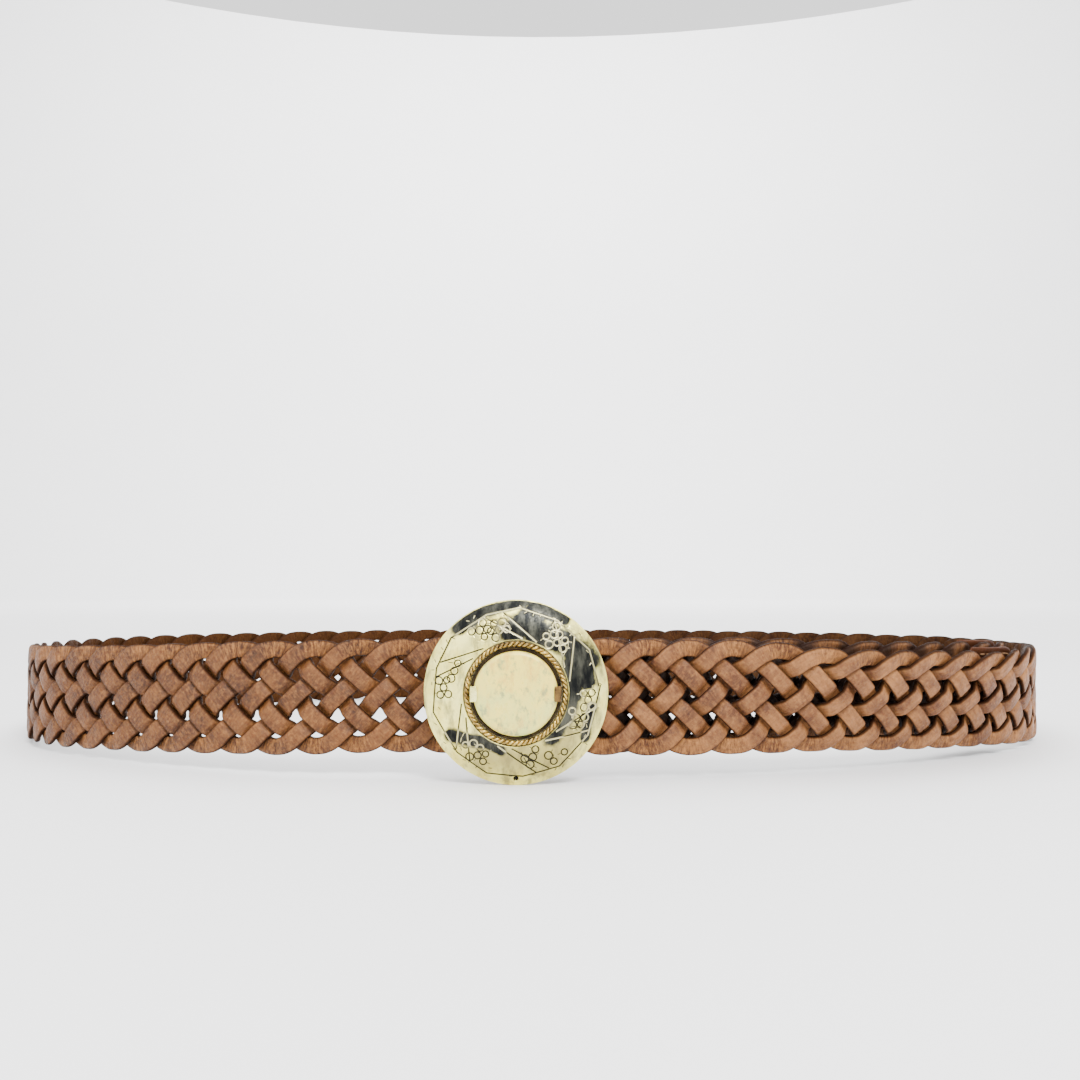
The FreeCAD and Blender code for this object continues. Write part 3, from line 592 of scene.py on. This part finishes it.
def tip_stitches():
    """The stitches of the outer leaf, in a line just inside its edge."""
    half = PLY_HALF - STITCH_INSET
    round_start = TAIL_END - PLY_HALF
    spots = []
    for i in range(int((round_start - PLY_START - STITCH_INSET) / STITCH_PITCH) + 1):
        s = round_start - i * STITCH_PITCH
        spots += [(s, half, 0), (s, -half, math.pi)]
    turns = round(math.pi * half / STITCH_PITCH)
    for i in range(1, turns):
        angle = math.pi * i / turns
        spots.append((round_start + half * math.sin(angle), half * math.cos(angle), angle))
    points = []
    faces = []
    for s, v, angle in spots:
        along, upward, outward = (one[0] for one in directions(np.array([s])))
        forward = along * math.cos(angle) - upward * math.sin(angle)
        middle = place(np.array([s]), v, ply_middle(s) + PLY_THICK / 2 - 0.08)[0]
        reach = forward * STITCH_HALF
        rings = capsule(middle - reach, middle + reach, outward * STITCH_BULGE, STITCH_RADIUS)
        faces += tube_faces(len(rings), rings.shape[1], first=sum(len(one) for one in points))
        points.append(tube_points(rings))
    item = add_object("tip_thread", np.concatenate(points), faces)
    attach(item, "tail_end")
    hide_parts("tip_stitches")
    return item


# ------------------------------------------------------------------ the buckle

DISC_X = -5
DISC_BACK = BAR_POINT.y - 5.6


def disc_points(x, z, height):
    """Points of the disc: x and z from its middle, height forward of its back."""
    x, z, height = np.broadcast_arrays(x, z, height)
    return np.stack([DISC_X + x, DISC_BACK - height, DISC_RADIUS + z], -1)


def dome_top(radius):
    """Height of the dome's face at a distance from its middle."""
    width = DISC_RADIUS - DOME_INNER
    bend = (width**2 + DOME_HEIGHT**2) / (2 * DOME_HEIGHT)
    away = np.clip(radius - DOME_INNER, 0, width)
    return PLATE_THICK + DOME_HEIGHT - bend + np.sqrt(bend**2 - away**2)


def to_segment(x, z, a, b):
    """Distance of each point from the line between a and b."""
    a, b = np.asarray(a, float), np.asarray(b, float)
    along = b - a
    part = np.clip(((x - a[0]) * along[0] + (z - a[1]) * along[1]) / (along @ along), 0, 1)
    return np.hypot(x - a[0] - part * along[0], z - a[1] - part * along[1])


def polar(radius, degrees):
    """A point of the disc from its distance and direction."""
    angle = math.radians(degrees)
    return np.array([radius * math.cos(angle), radius * math.sin(angle)])


def engraving(x, z):
    """Depth from 0 to 1 of the hand-cut lines: swirling bands, clusters of rings, a zigzag."""
    random = np.random.RandomState(4)
    cut = np.zeros_like(x)

    def line(a, b, width=0.25, depth=1.0):
        np.maximum(cut, depth * np.exp(-(to_segment(x, z, a, b) / width) ** 2), out=cut)

    def ring(centre, radius, width=0.24, depth=0.95):
        away = np.abs(np.hypot(x - centre[0], z - centre[1]) - radius)
        np.maximum(cut, depth * np.exp(-(away / width) ** 2), out=cut)

    sectors = 6
    for i in range(sectors):
        base = 360 / sectors * i + 8 + random.uniform(-6, 6)
        # Two straight lines bound a plain band that leaves the rope ring at a slant.
        for shift in (0, 15):
            line(polar(16.0, base + shift), polar(23.6, base + shift + 30 + random.uniform(-3, 3)))
        # Clusters of small touching rings, with ticks round them, fill the space between bands.
        for turn, away_from in ((36, 18.9), (50, 21.0)):
            centre = polar(away_from, base + turn + random.uniform(-3, 3))
            for k in range(7):
                spot = centre + (polar(2.35, 60 * k + base) if k else 0)
                if 16.9 < math.hypot(*spot) < 22.9 and random.uniform() < 0.75:
                    ring(spot, 1.05 + random.uniform(-0.15, 0.1))
                    out = polar(1, random.uniform(0, 360))
                    line(spot + out * 1.1, spot + out * 2.0, width=0.17, depth=0.7)
        for k in range(3):
            start = polar(17 + 1.6 * k, base + 24 + 2 * k)
            line(start, start + polar(1.3, base + random.uniform(40, 100)), width=0.17, depth=0.8)
    # A chain of straight cuts runs round near the rim, with short dashes on both its sides.
    corners = 13
    turns = [360 / corners * i + random.uniform(-5, 5) for i in range(corners)]
    for i in range(corners):
        a = polar(24.2 + 0.5 * (i % 2), turns[i])
        b = polar(24.2 + 0.5 * ((i + 1) % 2), turns[(i + 1) % corners])
        line(a, b)
    for i in range(70):
        if random.uniform() < 0.5:
            spot = polar(random.uniform(22.6, 25.6), 360 / 70 * i)
            line(spot, spot + polar(0.8, random.uniform(0, 360)), width=0.16, depth=0.8)
    return cut


# Strokes on the dome's face as a start, an end and a half width. Painted dark reflections lie in a
# broad band over the top and down the right, and in strips at the left.
DARK_REFLECTION_STROKES = [
    ((-1.0, 17.5), (7.5, 24.8), 3.6),
    ((5.5, 17.5), (14.5, 14.5), 3.8),
    ((9.0, 23.0), (14.0, 21.0), 1.8),
    ((14.5, 14.5), (20.5, 9.5), 3.8),
    ((20.5, 9.5), (20.5, 3.5), 2.6),
    ((17.0, 8.0), (15.5, 0.0), 3.6),
    ((15.5, 0.0), (13.6, -7.0), 3.0),
    ((13.6, -7.0), (10.5, -12.5), 2.4),
    ((22.0, -4.0), (20.0, -13.0), 1.4),
    ((-16.8, 18.6), (-10.0, 23.4), 2.0),
    ((-10.0, 23.4), (2.5, 26.4), 1.6),
    ((-19.0, -12.2), (-9.0, -14.0), 1.9),
    ((-9.0, -14.0), (-4.3, -16.4), 1.5),
]
# The colour is duller and greyer over the lower half and just above the rope ring.
DULL_STROKES = [
    ((-9.0, -18.0), (10.0, -18.5), 6.5),
    ((10.0, -18.5), (18.0, -10.0), 5.0),
    ((-3.0, 16.8), (3.0, 16.8), 3.5),
]


def strokes(lines, x, z):
    """How strongly each point lies inside the nearest of some brush strokes, from 0 to 1."""
    strength = np.zeros_like(x)
    for start, end, size in lines:
        np.maximum(strength, np.exp(-((to_segment(x, z, start, end) / size) ** 2)), out=strength)
    return strength


RIM_HOLE = (0.0, -24.8)
RIM_HOLE_RADIUS = 0.75
RIM_ROUND = 0.35
CUT_DEPTH = 0.2
HOLE_DEPTH = 0.75


def dome():
    """The domed ring with its engraving, a rolled rim and a closed back."""
    around = 1200
    face = np.linspace(DOME_INNER + 0.15, DISC_RADIUS - RIM_ROUND, 96)
    rim_angle = np.linspace(0.3, math.pi / 2, 5)
    under = np.linspace(DISC_RADIUS - 3.5, DOME_INNER, 8)
    # The outline runs out over the face, round the rim and back under the shell.
    radii = np.concatenate([
        [DOME_INNER, DOME_INNER],
        face,
        DISC_RADIUS - RIM_ROUND + RIM_ROUND * np.sin(rim_angle),
        [DISC_RADIUS - 0.3, DISC_RADIUS - 2.2],
        under,
    ])
    rim_top = float(dome_top(DISC_RADIUS - RIM_ROUND))
    heights = np.concatenate([
        [PLATE_THICK + DOME_HEIGHT - DOME_THICK + 0.1, PLATE_THICK + DOME_HEIGHT - 0.2],
        dome_top(face),
        PLATE_THICK + (rim_top - PLATE_THICK) * np.cos(rim_angle) + 0.02,
        [PLATE_THICK + 0.01, PLATE_THICK + 0.01],
        dome_top(under + 1.0) - DOME_THICK,
    ])
    angle = np.linspace(0, 2 * math.pi, around, endpoint=False)
    x = radii * np.cos(angle)[:, None]
    z = radii * np.sin(angle)[:, None]
    on_face = np.zeros(len(radii))
    on_face[2:2 + len(face)] = smooth(DOME_INNER + 0.1, DOME_INNER + 0.6, face)
    cut = engraving(x, z) * on_face
    hole = np.exp(-(np.hypot(x - RIM_HOLE[0], z - RIM_HOLE[1]) / RIM_HOLE_RADIUS) ** 6) * on_face
    hammered = 0.05 * (wander(x + 50, 2.3, 3) * wander(z + 50, 2.9, 8)) * on_face
    points = disc_points(x, z, heights - CUT_DEPTH * cut - HOLE_DEPTH * hole + hammered)
    faces = tube_faces(around, len(radii), closed=True)
    item = add_object("engraved_dome", points.reshape(-1, 3), faces)
    set_attribute(item, "cut", cut.ravel())
    set_attribute(item, "hole", hole.ravel())
    # Painted dark reflections, at a quarter strength off the dome's face.
    set_attribute(item, "dark", (strokes(DARK_REFLECTION_STROKES, x, z) * (0.25 + 0.75 * on_face)).ravel())
    set_attribute(item, "dull", (0.8 * strokes(DULL_STROKES, x, z)).ravel())
    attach(item, "buckle")
    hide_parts("dome")
    return item


def rope_ring():
    """Two round wires twisted together into a ring."""
    twists = 31
    along = 60 * twists
    around = 10
    turn = np.linspace(0, 2 * math.pi, along, endpoint=False)
    angle = np.linspace(0, 2 * math.pi, around, endpoint=False)[None, :, None]
    wire_radius = ROPE_THICK * 0.50
    offset = ROPE_THICK * 0.49
    points = []
    faces = []
    height = PLATE_THICK + DOME_HEIGHT - 0.2
    for wire in (0, 1):
        twist = twists * turn + math.pi * wire
        radius = ROPE_RADIUS + offset * np.cos(twist)
        rise = height + offset * np.sin(twist)
        middle = np.stack([radius * np.cos(turn), radius * np.sin(turn), rise], -1)
        forward = unit(np.roll(middle, -1, 0) - np.roll(middle, 1, 0))
        outward = np.stack([np.cos(turn), np.sin(turn), np.zeros(along)], -1)
        outward = unit(outward - forward * (outward * forward).sum(1)[:, None])
        third = np.cross(forward, outward)
        round_wire = outward[:, None] * np.cos(angle) + third[:, None] * np.sin(angle)
        rings = middle[:, None] + round_wire * wire_radius
        faces += tube_faces(along, around, closed=True, first=wire * along * around)
        flat = rings.reshape(-1, 3)
        points.append(disc_points(flat[:, 0], flat[:, 1], flat[:, 2]))
    item = add_object("twisted_rope", np.concatenate(points), faces)
    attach(item, "buckle")
    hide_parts("rope_ring")
    return item


def stone():
    """The flat pale stone with its rounded, slightly uneven edge."""
    side_top = STONE_BASE + STONE_SIDE
    edge = np.radians(np.linspace(0, 90, 14))
    inwards = np.linspace(1, 0, 26)[1:]
    radii = np.concatenate([
        [0.02, 6, STONE_RADIUS - 0.3, STONE_RADIUS, STONE_RADIUS],
        STONE_RADIUS - STONE_EDGE + STONE_EDGE * np.cos(edge),
        np.linspace(STONE_RADIUS - STONE_EDGE, 0.02, 26)[1:],
    ])
    heights = np.concatenate([
        [STONE_BASE, STONE_BASE, STONE_BASE, STONE_BASE + 0.3, side_top],
        side_top + STONE_EDGE * np.sin(edge),
        side_top + STONE_EDGE + STONE_CROWN * (1 - inwards**2),
    ])
    around = 180
    angle = np.linspace(0, 2 * math.pi, around, endpoint=False)[:, None]
    uneven = 1 - 0.006 * (1 + wander(angle * 10, 4, 21)) * smooth(4, 12, radii)
    x = radii * uneven * np.cos(angle)
    z = radii * uneven * np.sin(angle)
    flow = 0.05 * wander(x + 40, 4.5, 31) * wander(z + 40, 6.0, 32)
    height = heights + flow * (heights > side_top + 0.5) * smooth(0, 3, STONE_RADIUS - radii)
    height = height - 0.05 * (heights > side_top + 1)
    faces = tube_faces(around, len(radii), closed=True)
    item = add_object("polished_stone", disc_points(x, z, height).reshape(-1, 3), faces)
    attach(item, "buckle")
    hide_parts("stone")
    return item


def claw(name, side):
    """A claw: its leg stands on the cup's wall and its tab laps over the stone's edge."""
    low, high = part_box(name)
    foot = PLATE_THICK + 3.6
    tab = STONE_BASE + STONE_SIDE + STONE_EDGE
    outer = 13.15
    outline = [
        (outer, foot),
        (outer, tab + 0.35),
        (outer - 0.25, tab + 0.6),
        (outer - 1.9, tab + 0.56),
        (outer - 2.1, tab + 0.4),
        (outer - 2.1, tab + 0.02),
        (outer - 0.62, tab + 0.02),
        (outer - 0.6, foot),
    ]
    half = (high.z - low.z) / MM / 2
    rows = np.linspace(-half, half, 9)
    points = []
    for row in rows:
        squeeze = 1 - 0.10 * (abs(row) / half) ** 4
        for radius, height in outline:
            out = outer - (outer - radius) * squeeze
            points.append(disc_points(side * out, row * 0.97, height))
    ring = len(outline)
    points = np.array(points).reshape(len(rows), ring, 3)
    item = add_object(name + "_tab", tube_points(points), tube_faces(len(rows), ring))
    bevel = item.modifiers.new("soft edges", "BEVEL")
    bevel.width = 0.12 * MM
    bevel.segments = 2
    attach(item, "buckle")
    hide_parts(name)
    return item


# ------------------------------------------------------------------- materials


class Shader:
    """A short way to build a node material."""

    def __init__(self, name):
        self.material = bpy.data.materials.new(name)
        self.material.use_nodes = True
        self.tree = self.material.node_tree
        self.surface = self.tree.nodes["Principled BSDF"]

    def node(self, kind, **values):
        """Adds a node. Keys that are its own properties are set, and others are its sockets."""
        item = self.tree.nodes.new(kind)
        for key, value in values.items():
            if hasattr(item, key):
                setattr(item, key, value)
            else:
                self.feed(item.inputs[key.replace("_", " ")], value)
        return item

    def feed(self, socket, value):
        """Links an output to a socket, or sets the socket's own value."""
        if isinstance(value, bpy.types.NodeSocket):
            self.tree.links.new(value, socket)
        else:
            socket.default_value = value

    def attribute(self, name):
        """A number stored on the mesh."""
        return self.node("ShaderNodeAttribute", attribute_name=name).outputs["Fac"]

    def math(self, operation, first, second=0.0, clamp=False):
        """One step of arithmetic."""
        item = self.tree.nodes.new("ShaderNodeMath")
        item.operation = operation
        item.use_clamp = clamp
        self.feed(item.inputs[0], first)
        self.feed(item.inputs[1], second)
        return item.outputs[0]

    def mix(self, share, first, second, blend="MIX"):
        """Mixes two colours by a share."""
        item = self.tree.nodes.new("ShaderNodeMix")
        item.data_type = "RGBA"
        item.blend_type = blend
        self.feed(item.inputs[0], share)
        self.feed(item.inputs[6], first)
        self.feed(item.inputs[7], second)
        return item.outputs[2]

    def place(self, scale=(1, 1, 1)):
        """The point on the object, stretched by a scale."""
        where = self.node("ShaderNodeTexCoord").outputs["Object"]
        item = self.tree.nodes.new("ShaderNodeMapping")
        self.feed(item.inputs["Vector"], where)
        item.inputs["Scale"].default_value = scale
        return item.outputs[0]

    def noise(self, where, scale, detail=4.0, rough=0.55):
        """Cloudy noise; scale is counted for each metre."""
        item = self.node("ShaderNodeTexNoise", Vector=where, Scale=scale, Detail=detail, Roughness=rough)
        return item.outputs["Fac"]

    def range(self, value, low, high, new_low=0.0, new_high=1.0):
        """Maps low..high to new_low..new_high, smoothly and clamped."""
        item = self.tree.nodes.new("ShaderNodeMapRange")
        item.interpolation_type = "SMOOTHSTEP"
        for socket, number in zip(item.inputs, (value, low, high, new_low, new_high)):
            self.feed(socket, number)
        return item.outputs[0]

    def bumps(self, layers):
        """Stacks bump layers of (height, strength, distance in metres)."""
        normal = None
        for height, strength, distance in layers:
            item = self.tree.nodes.new("ShaderNodeBump")
            self.feed(item.inputs["Height"], height)
            item.inputs["Strength"].default_value = strength
            item.inputs["Distance"].default_value = distance
            if normal is not None:
                self.feed(item.inputs["Normal"], normal)
            normal = item.outputs[0]
        self.feed(self.surface.inputs["Normal"], normal)


def colour(red, green, blue):
    """An sRGB colour of 0..255 as the linear numbers that shaders use."""

    def linear(value):
        return ((value / 255 + 0.055) / 1.055) ** 2.4 if value > 10 else value / 255 / 12.92

    return (linear(red), linear(green), linear(blue), 1.0)


def strand_leather():
    """Waxed tan-brown leather: mottled, finely grained, pale and creased where it turns, with painted
    light and shade on the loop's sides, in the creases and on the tail.
    """
    shader = Shader("strand_leather")
    along = shader.attribute("along")
    side = shader.attribute("across")
    turn = shader.attribute("turn")
    face = shader.attribute("face")
    light_side = shader.attribute("light_side")
    seed = shader.attribute("seed")
    tail_shadow = shader.attribute("tail_shadow")
    where = shader.place()
    cloud = shader.noise(where, 95, 5, 0.6)
    fine = shader.noise(where, 900, 4, 0.6)
    strand_place = shader.node("ShaderNodeCombineXYZ", X=along, Y=side, Z=seed).outputs[0]
    fibre = shader.node("ShaderNodeMapping", Vector=strand_place, Scale=(0.35, 2.6, 1.0))
    streak = shader.noise(fibre.outputs[0], 1.0, 5, 0.65)
    fold = shader.node("ShaderNodeMapping", Vector=strand_place, Scale=(1.5, 0.9, 1.0))
    wrinkle = shader.noise(fold.outputs[0], 1.0, 6, 0.75)
    cloud = shader.range(cloud, 0.3, 0.7)
    # Painted light: the outer face is painted darker on the loop's left and lighter on its right.
    left = shader.mix(cloud, colour(42, 21, 8), colour(100, 61, 27))
    right = shader.mix(cloud, colour(70, 38, 18), colour(144, 97, 56))
    base = shader.mix(shader.range(light_side, 0.35, 0.75), left, right)
    base = shader.mix(shader.range(streak, 0.35, 0.75, 0, 0.5), base, colour(82, 38, 14))
    base = shader.mix(shader.range(fine, 0.45, 0.75, 0, 0.3), base, colour(168, 112, 62))
    # Where a strand turns at the edge, and faintly elsewhere, the colour is paler on the wrinkles'
    # crests.
    creased = shader.range(turn, 0.0, 1.0, 0.25, 1.0)
    pale_crest = shader.math("MULTIPLY", creased, shader.range(wrinkle, 0.42, 0.68))
    base = shader.mix(shader.math("MULTIPLY", pale_crest, 0.6), base, colour(190, 128, 68))
    # Painted shade in the hollows of the wrinkles where a strand turns, and faintly elsewhere.
    crease_shade = shader.math("MULTIPLY", creased, shader.range(wrinkle, 0.32, 0.46, 1, 0))
    base = shader.mix(shader.math("MULTIPLY", crease_shade, 0.7), base, colour(34, 14, 7))
    # The cut edges are burnished dark, with painted shade where the strands meet, and the flesh side is
    # duller than the grain side.
    edge = shader.range(shader.math("ABSOLUTE", side), 0.76, 1.0, 0, 0.9)
    base = shader.mix(edge, base, colour(24, 10, 5))
    inside = shader.range(face, -0.5, 0.3, 0.85, 0)
    # Painted shade: the flesh side is painted darker on the loop's right.
    flesh = shader.mix(shader.range(light_side, 0.35, 0.75), colour(46, 26, 13), colour(22, 12, 8))
    base = shader.mix(inside, base, flesh)
    # Painted shadow: the tail is painted dark where it lies behind the outer strap, less so where it
    # turns.
    hidden = shader.math("MULTIPLY", tail_shadow, shader.range(turn, 0.2, 0.9, 0.9, 0.25))
    base = shader.mix(hidden, base, colour(26, 12, 7))
    shader.feed(shader.surface.inputs["Base Color"], base)
    shader.feed(shader.surface.inputs["Roughness"], shader.range(streak, 0.3, 0.8, 0.42, 0.66))
    matte = shader.math("MULTIPLY", shader.math("MAXIMUM", edge, inside), 0.27)
    gloss = shader.math("SUBTRACT", 0.26, matte, clamp=True)
    shader.feed(shader.surface.inputs["Specular IOR Level"], gloss)
    pores = shader.node("ShaderNodeTexVoronoi", Vector=where, Scale=1500).outputs["Distance"]
    crumple = shader.math("MULTIPLY", wrinkle, creased)
    shader.bumps([
        (streak, 0.55, 0.0007), (pores, 0.2, 0.0002), (fine, 0.45, 0.0004), (crumple, 0.9, 0.0009),
    ])
    return shader.material


def tip_leather():
    """The tip's leaves: smooth dark-brown strap leather with a fine pebble grain."""
    shader = Shader("tip_leather")
    where = shader.place()
    cloud = shader.noise(where, 70, 5, 0.6)
    pores = shader.node("ShaderNodeTexVoronoi", Vector=where, Scale=1100).outputs["Distance"]
    base = shader.mix(cloud, colour(44, 23, 12), colour(84, 47, 26))
    base = shader.mix(shader.range(pores, 0.0, 0.5, 0.35, 0), base, colour(34, 18, 11))
    shader.feed(shader.surface.inputs["Base Color"], base)
    shader.feed(shader.surface.inputs["Roughness"], shader.range(cloud, 0.3, 0.7, 0.38, 0.58))
    shader.surface.inputs["Specular IOR Level"].default_value = 0.12
    shader.bumps([(pores, 0.3, 0.0002), (shader.noise(where, 420, 5, 0.6), 0.35, 0.0004)])
    return shader.material


def thread():
    """Waxed tan thread with the twist of its plies."""
    shader = Shader("waxed_thread")
    where = shader.place()
    ply = shader.node("ShaderNodeTexWave", Vector=where, Scale=1400.0, Distortion=2.0).outputs["Fac"]
    base = shader.mix(ply, colour(84, 56, 32), colour(140, 102, 62))
    shader.feed(shader.surface.inputs["Base Color"], base)
    shader.surface.inputs["Roughness"].default_value = 0.55
    shader.bumps([(ply, 0.5, 0.0001)])
    return shader.material


def engraved_brass():
    """Pale aged metal with painted dark reflections: its cuts are dark on the bright metal and pale
    inside the painted dark reflections.
    """
    shader = Shader("engraved_brass")
    cut = shader.attribute("cut")
    hole = shader.attribute("hole")
    dark = shader.attribute("dark")
    where = shader.place()
    cloud = shader.noise(where, 190, 7, 0.7)
    smear = shader.noise(shader.place((1.0, 1.0, 0.35)), 330, 6, 0.65)
    speck = shader.noise(where, 1500, 4, 0.6)
    # Painted dark reflections, broken up by cloudy noise.
    dark_reflection_share = shader.math("ADD", dark, shader.math("SUBTRACT", cloud, 0.5))
    dark_reflection_share = shader.range(dark_reflection_share, 0.10, 0.52)
    bright_metal = shader.mix(shader.range(cloud, 0.35, 0.7), colour(254, 246, 150), colour(238, 222, 112))
    bright_metal = shader.mix(shader.range(smear, 0.44, 0.68, 0, 0.8), bright_metal, colour(128, 122, 84))
    bright_metal = shader.mix(shader.attribute("dull"), bright_metal, colour(138, 126, 78))
    # The colours of the painted dark reflections.
    dark_reflection_colour = shader.mix(shader.range(smear, 0.38, 0.74), colour(12, 14, 14), colour(76, 76, 66))
    base = shader.mix(dark_reflection_share, bright_metal, dark_reflection_colour)
    # The cuts are dark lines on the bright metal and pale lines inside the painted dark reflections.
    line = shader.mix(dark_reflection_share, colour(34, 31, 20), colour(184, 176, 130))
    base = shader.mix(shader.range(cut, 0.25, 0.75), base, line)
    # Painted shade: the pit in the rim is coloured near black.
    base = shader.mix(shader.range(hole, 0.3, 0.6), base, colour(18, 17, 14))
    shader.feed(shader.surface.inputs["Base Color"], base)
    shader.surface.inputs["Metallic"].default_value = 0.85
    shader.feed(shader.surface.inputs["Roughness"], shader.range(speck, 0.3, 0.7, 0.30, 0.46))
    scratches = shader.noise(shader.place((1, 1, 9)), 300, 4, 0.6)
    shader.bumps([(scratches, 0.12, 0.0002), (speck, 0.10, 0.0001)])
    return shader.material


def plain_brass(name, light, shade, rough):
    """Metal that varies in cloudy patches between its two colours."""
    shader = Shader(name)
    where = shader.place()
    cloud = shader.noise(where, 340, 6, 0.65)
    speck = shader.noise(where, 1800, 3, 0.6)
    base = shader.mix(shader.range(cloud, 0.38, 0.66), light, shade)
    shader.feed(shader.surface.inputs["Base Color"], base)
    shader.surface.inputs["Metallic"].default_value = 0.9
    roughness = shader.range(speck, 0.3, 0.7, rough - 0.06, rough + 0.08)
    shader.feed(shader.surface.inputs["Roughness"], roughness)
    shader.bumps([(speck, 0.15, 0.0001), (cloud, 0.10, 0.0003)])
    return shader.material


def pale_stone():
    """Polished ivory-coloured stone with soft ochre clouds and grey-green flecks."""
    shader = Shader("pale_stone")
    where = shader.place((1, 1, 0.7))
    cloud = shader.noise(where, 75, 5, 0.55)
    vein = shader.noise(shader.place((1.6, 1, 0.8)), 170, 6, 0.7)
    fleck = shader.noise(where, 420, 5, 0.7)
    base = shader.mix(shader.range(cloud, 0.40, 0.60), colour(204, 206, 112), colour(232, 210, 88))
    base = shader.mix(shader.range(vein, 0.48, 0.66, 0, 0.6), base, colour(206, 158, 62))
    base = shader.mix(shader.range(fleck, 0.50, 0.68, 0, 0.8), base, colour(122, 134, 92))
    shader.feed(shader.surface.inputs["Base Color"], base)
    shader.feed(shader.surface.inputs["Roughness"], shader.range(fleck, 0.3, 0.7, 0.26, 0.36))
    shader.surface.inputs["Subsurface Weight"].default_value = 0.12
    shader.surface.inputs["Subsurface Scale"].default_value = 0.002
    shader.bumps([(fleck, 0.08, 0.0002)])
    return shader.material


def dark_wood():
    """The bed under the stone."""
    shader = Shader("bed_wood")
    where = shader.place((1, 1, 6))
    grain = shader.noise(where, 120, 6, 0.6)
    base = shader.mix(grain, colour(48, 34, 22), colour(96, 70, 46))
    shader.feed(shader.surface.inputs["Base Color"], base)
    shader.surface.inputs["Roughness"].default_value = 0.7
    shader.bumps([(grain, 0.3, 0.0003)])
    return shader.material


def floor_paint():
    """A plain pale ground."""
    shader = Shader("pale_floor")
    where = shader.place()
    base = shader.mix(shader.noise(where, 3, 2, 0.5), colour(226, 226, 227), colour(230, 230, 230))
    shader.feed(shader.surface.inputs["Base Color"], base)
    shader.surface.inputs["Roughness"].default_value = 0.75
    return shader.material


# ----------------------------------------------------------------- the assembly


def dress(name, material):
    """Gives a CAD piece its finished material."""
    item = frame["nodes"][name]
    item.data.materials.clear()
    item.data.materials.append(material)


make_strands(strand_leather())
tip = tip_leather()
for node, side in (("tip_outer_ply", 1), ("tip_inner_ply", -1)):
    tip_ply(node, side).data.materials.append(tip)
tip_stitches().data.materials.append(thread())

PALE = (colour(226, 216, 170), colour(160, 148, 108))
GOLDEN = (colour(200, 172, 96), colour(104, 82, 46))
# Painted light and shade: the left claw is coloured as lit and the right one as in shade.
LIT_CLAW = (colour(250, 244, 160), colour(232, 222, 130))
CLAW_IN_SHADE = (colour(120, 92, 50), colour(64, 50, 34))
# Painted shadow: the stone's cup is coloured near black-brown.
CUP_SHADOW = (colour(64, 52, 30), colour(26, 21, 15))
brass = plain_brass("pale_brass", *PALE, 0.36)
dome().data.materials.append(engraved_brass())
rope_ring().data.materials.append(plain_brass("rope_brass", *GOLDEN, 0.34))
stone().data.materials.append(pale_stone())
# The left claw is painted as lit and the right one as in shade.
claw("claw_left", -1).data.materials.append(plain_brass("claw_painted_highlight", *LIT_CLAW, 0.3))
claw("claw_right", 1).data.materials.append(plain_brass("claw_painted_shade", *CLAW_IN_SHADE, 0.4))
for node in ("back_plate", "bail", "hook", "hook_pad"):
    dress(node, brass)
# Painted shadow: the cup round the stone.
dress("stone_cup", plain_brass("cup_painted_shadow", *CUP_SHADOW, 0.5))
dress("stone_bed", dark_wood())

# ------------------------------------------------------- floor, lights and camera


def add_floor():
    """A round plain ground that sweeps up into a low wall all round, as in a studio."""
    around = 128
    flat = 4000
    bend = 1500
    wall_top = 3200
    climb = np.radians(np.linspace(0, 90, 31))
    radii = np.concatenate([[1000, 2000, 3000], flat + bend * np.sin(climb), [flat + bend]])
    heights = np.concatenate([[0, 0, 0], bend - bend * np.cos(climb), [wall_top]])
    turn = np.linspace(0, 2 * math.pi, around, endpoint=False)
    rings = np.stack([np.outer(radii, np.cos(turn)), np.outer(radii, np.sin(turn))], -1)
    points = np.concatenate([rings, np.repeat(heights[:, None, None], around, 1)], -1).reshape(-1, 3)
    faces = [tuple(range(around))]
    for ring in range(len(radii) - 1):
        for k in range(around):
            here = ring * around
            after = (k + 1) % around
            faces.append((here + k, here + around + k, here + around + after, here + after))
    item = add_object("floor", points, faces)
    item.data.materials.append(floor_paint())


def add_light(name, spot, size, power, target=(0, 0, 0.02)):
    """A soft square light that faces the belt, or another target."""
    data = bpy.data.lights.new(name, "AREA")
    data.size = size
    data.energy = power
    item = bpy.data.objects.new(name, data)
    bpy.context.scene.collection.objects.link(item)
    item.location = spot
    item.rotation_euler = (Vector(target) - item.location).to_track_quat("-Z", "Y").to_euler()


def add_world():
    """Even white light from all round."""
    world = bpy.data.worlds.new("studio")
    world.use_nodes = True
    background = world.node_tree.nodes["Background"]
    background.inputs["Color"].default_value = (1, 1, 1, 1)
    background.inputs["Strength"].default_value = 1.6
    bpy.context.scene.world = world


def add_camera():
    """The view from a little above the belt and straight in front of it."""
    data = bpy.data.cameras.new("camera")
    data.sensor_width = 36
    data.lens = 35.12
    data.clip_start = 0.01
    item = bpy.data.objects.new("camera", data)
    bpy.context.scene.collection.objects.link(item)
    item.location = (0, -0.4306, 0.0585)
    item.rotation_euler = (math.radians(90 + 2.4), 0, math.radians(-0.37))
    bpy.context.scene.camera = item


add_floor()
add_world()
add_light("key", (0.3, -1.0, 1.0), 0.5, 34)
add_light("fill", (-0.9, -0.8, 0.6), 0.8, 6)
add_light("top", (0, 0.3, 1.6), 2.0, 50)
add_light("backdrop", (0, 2.6, 3.0), 2.5, 420, target=(0, 5.4, 0.6))
add_camera()
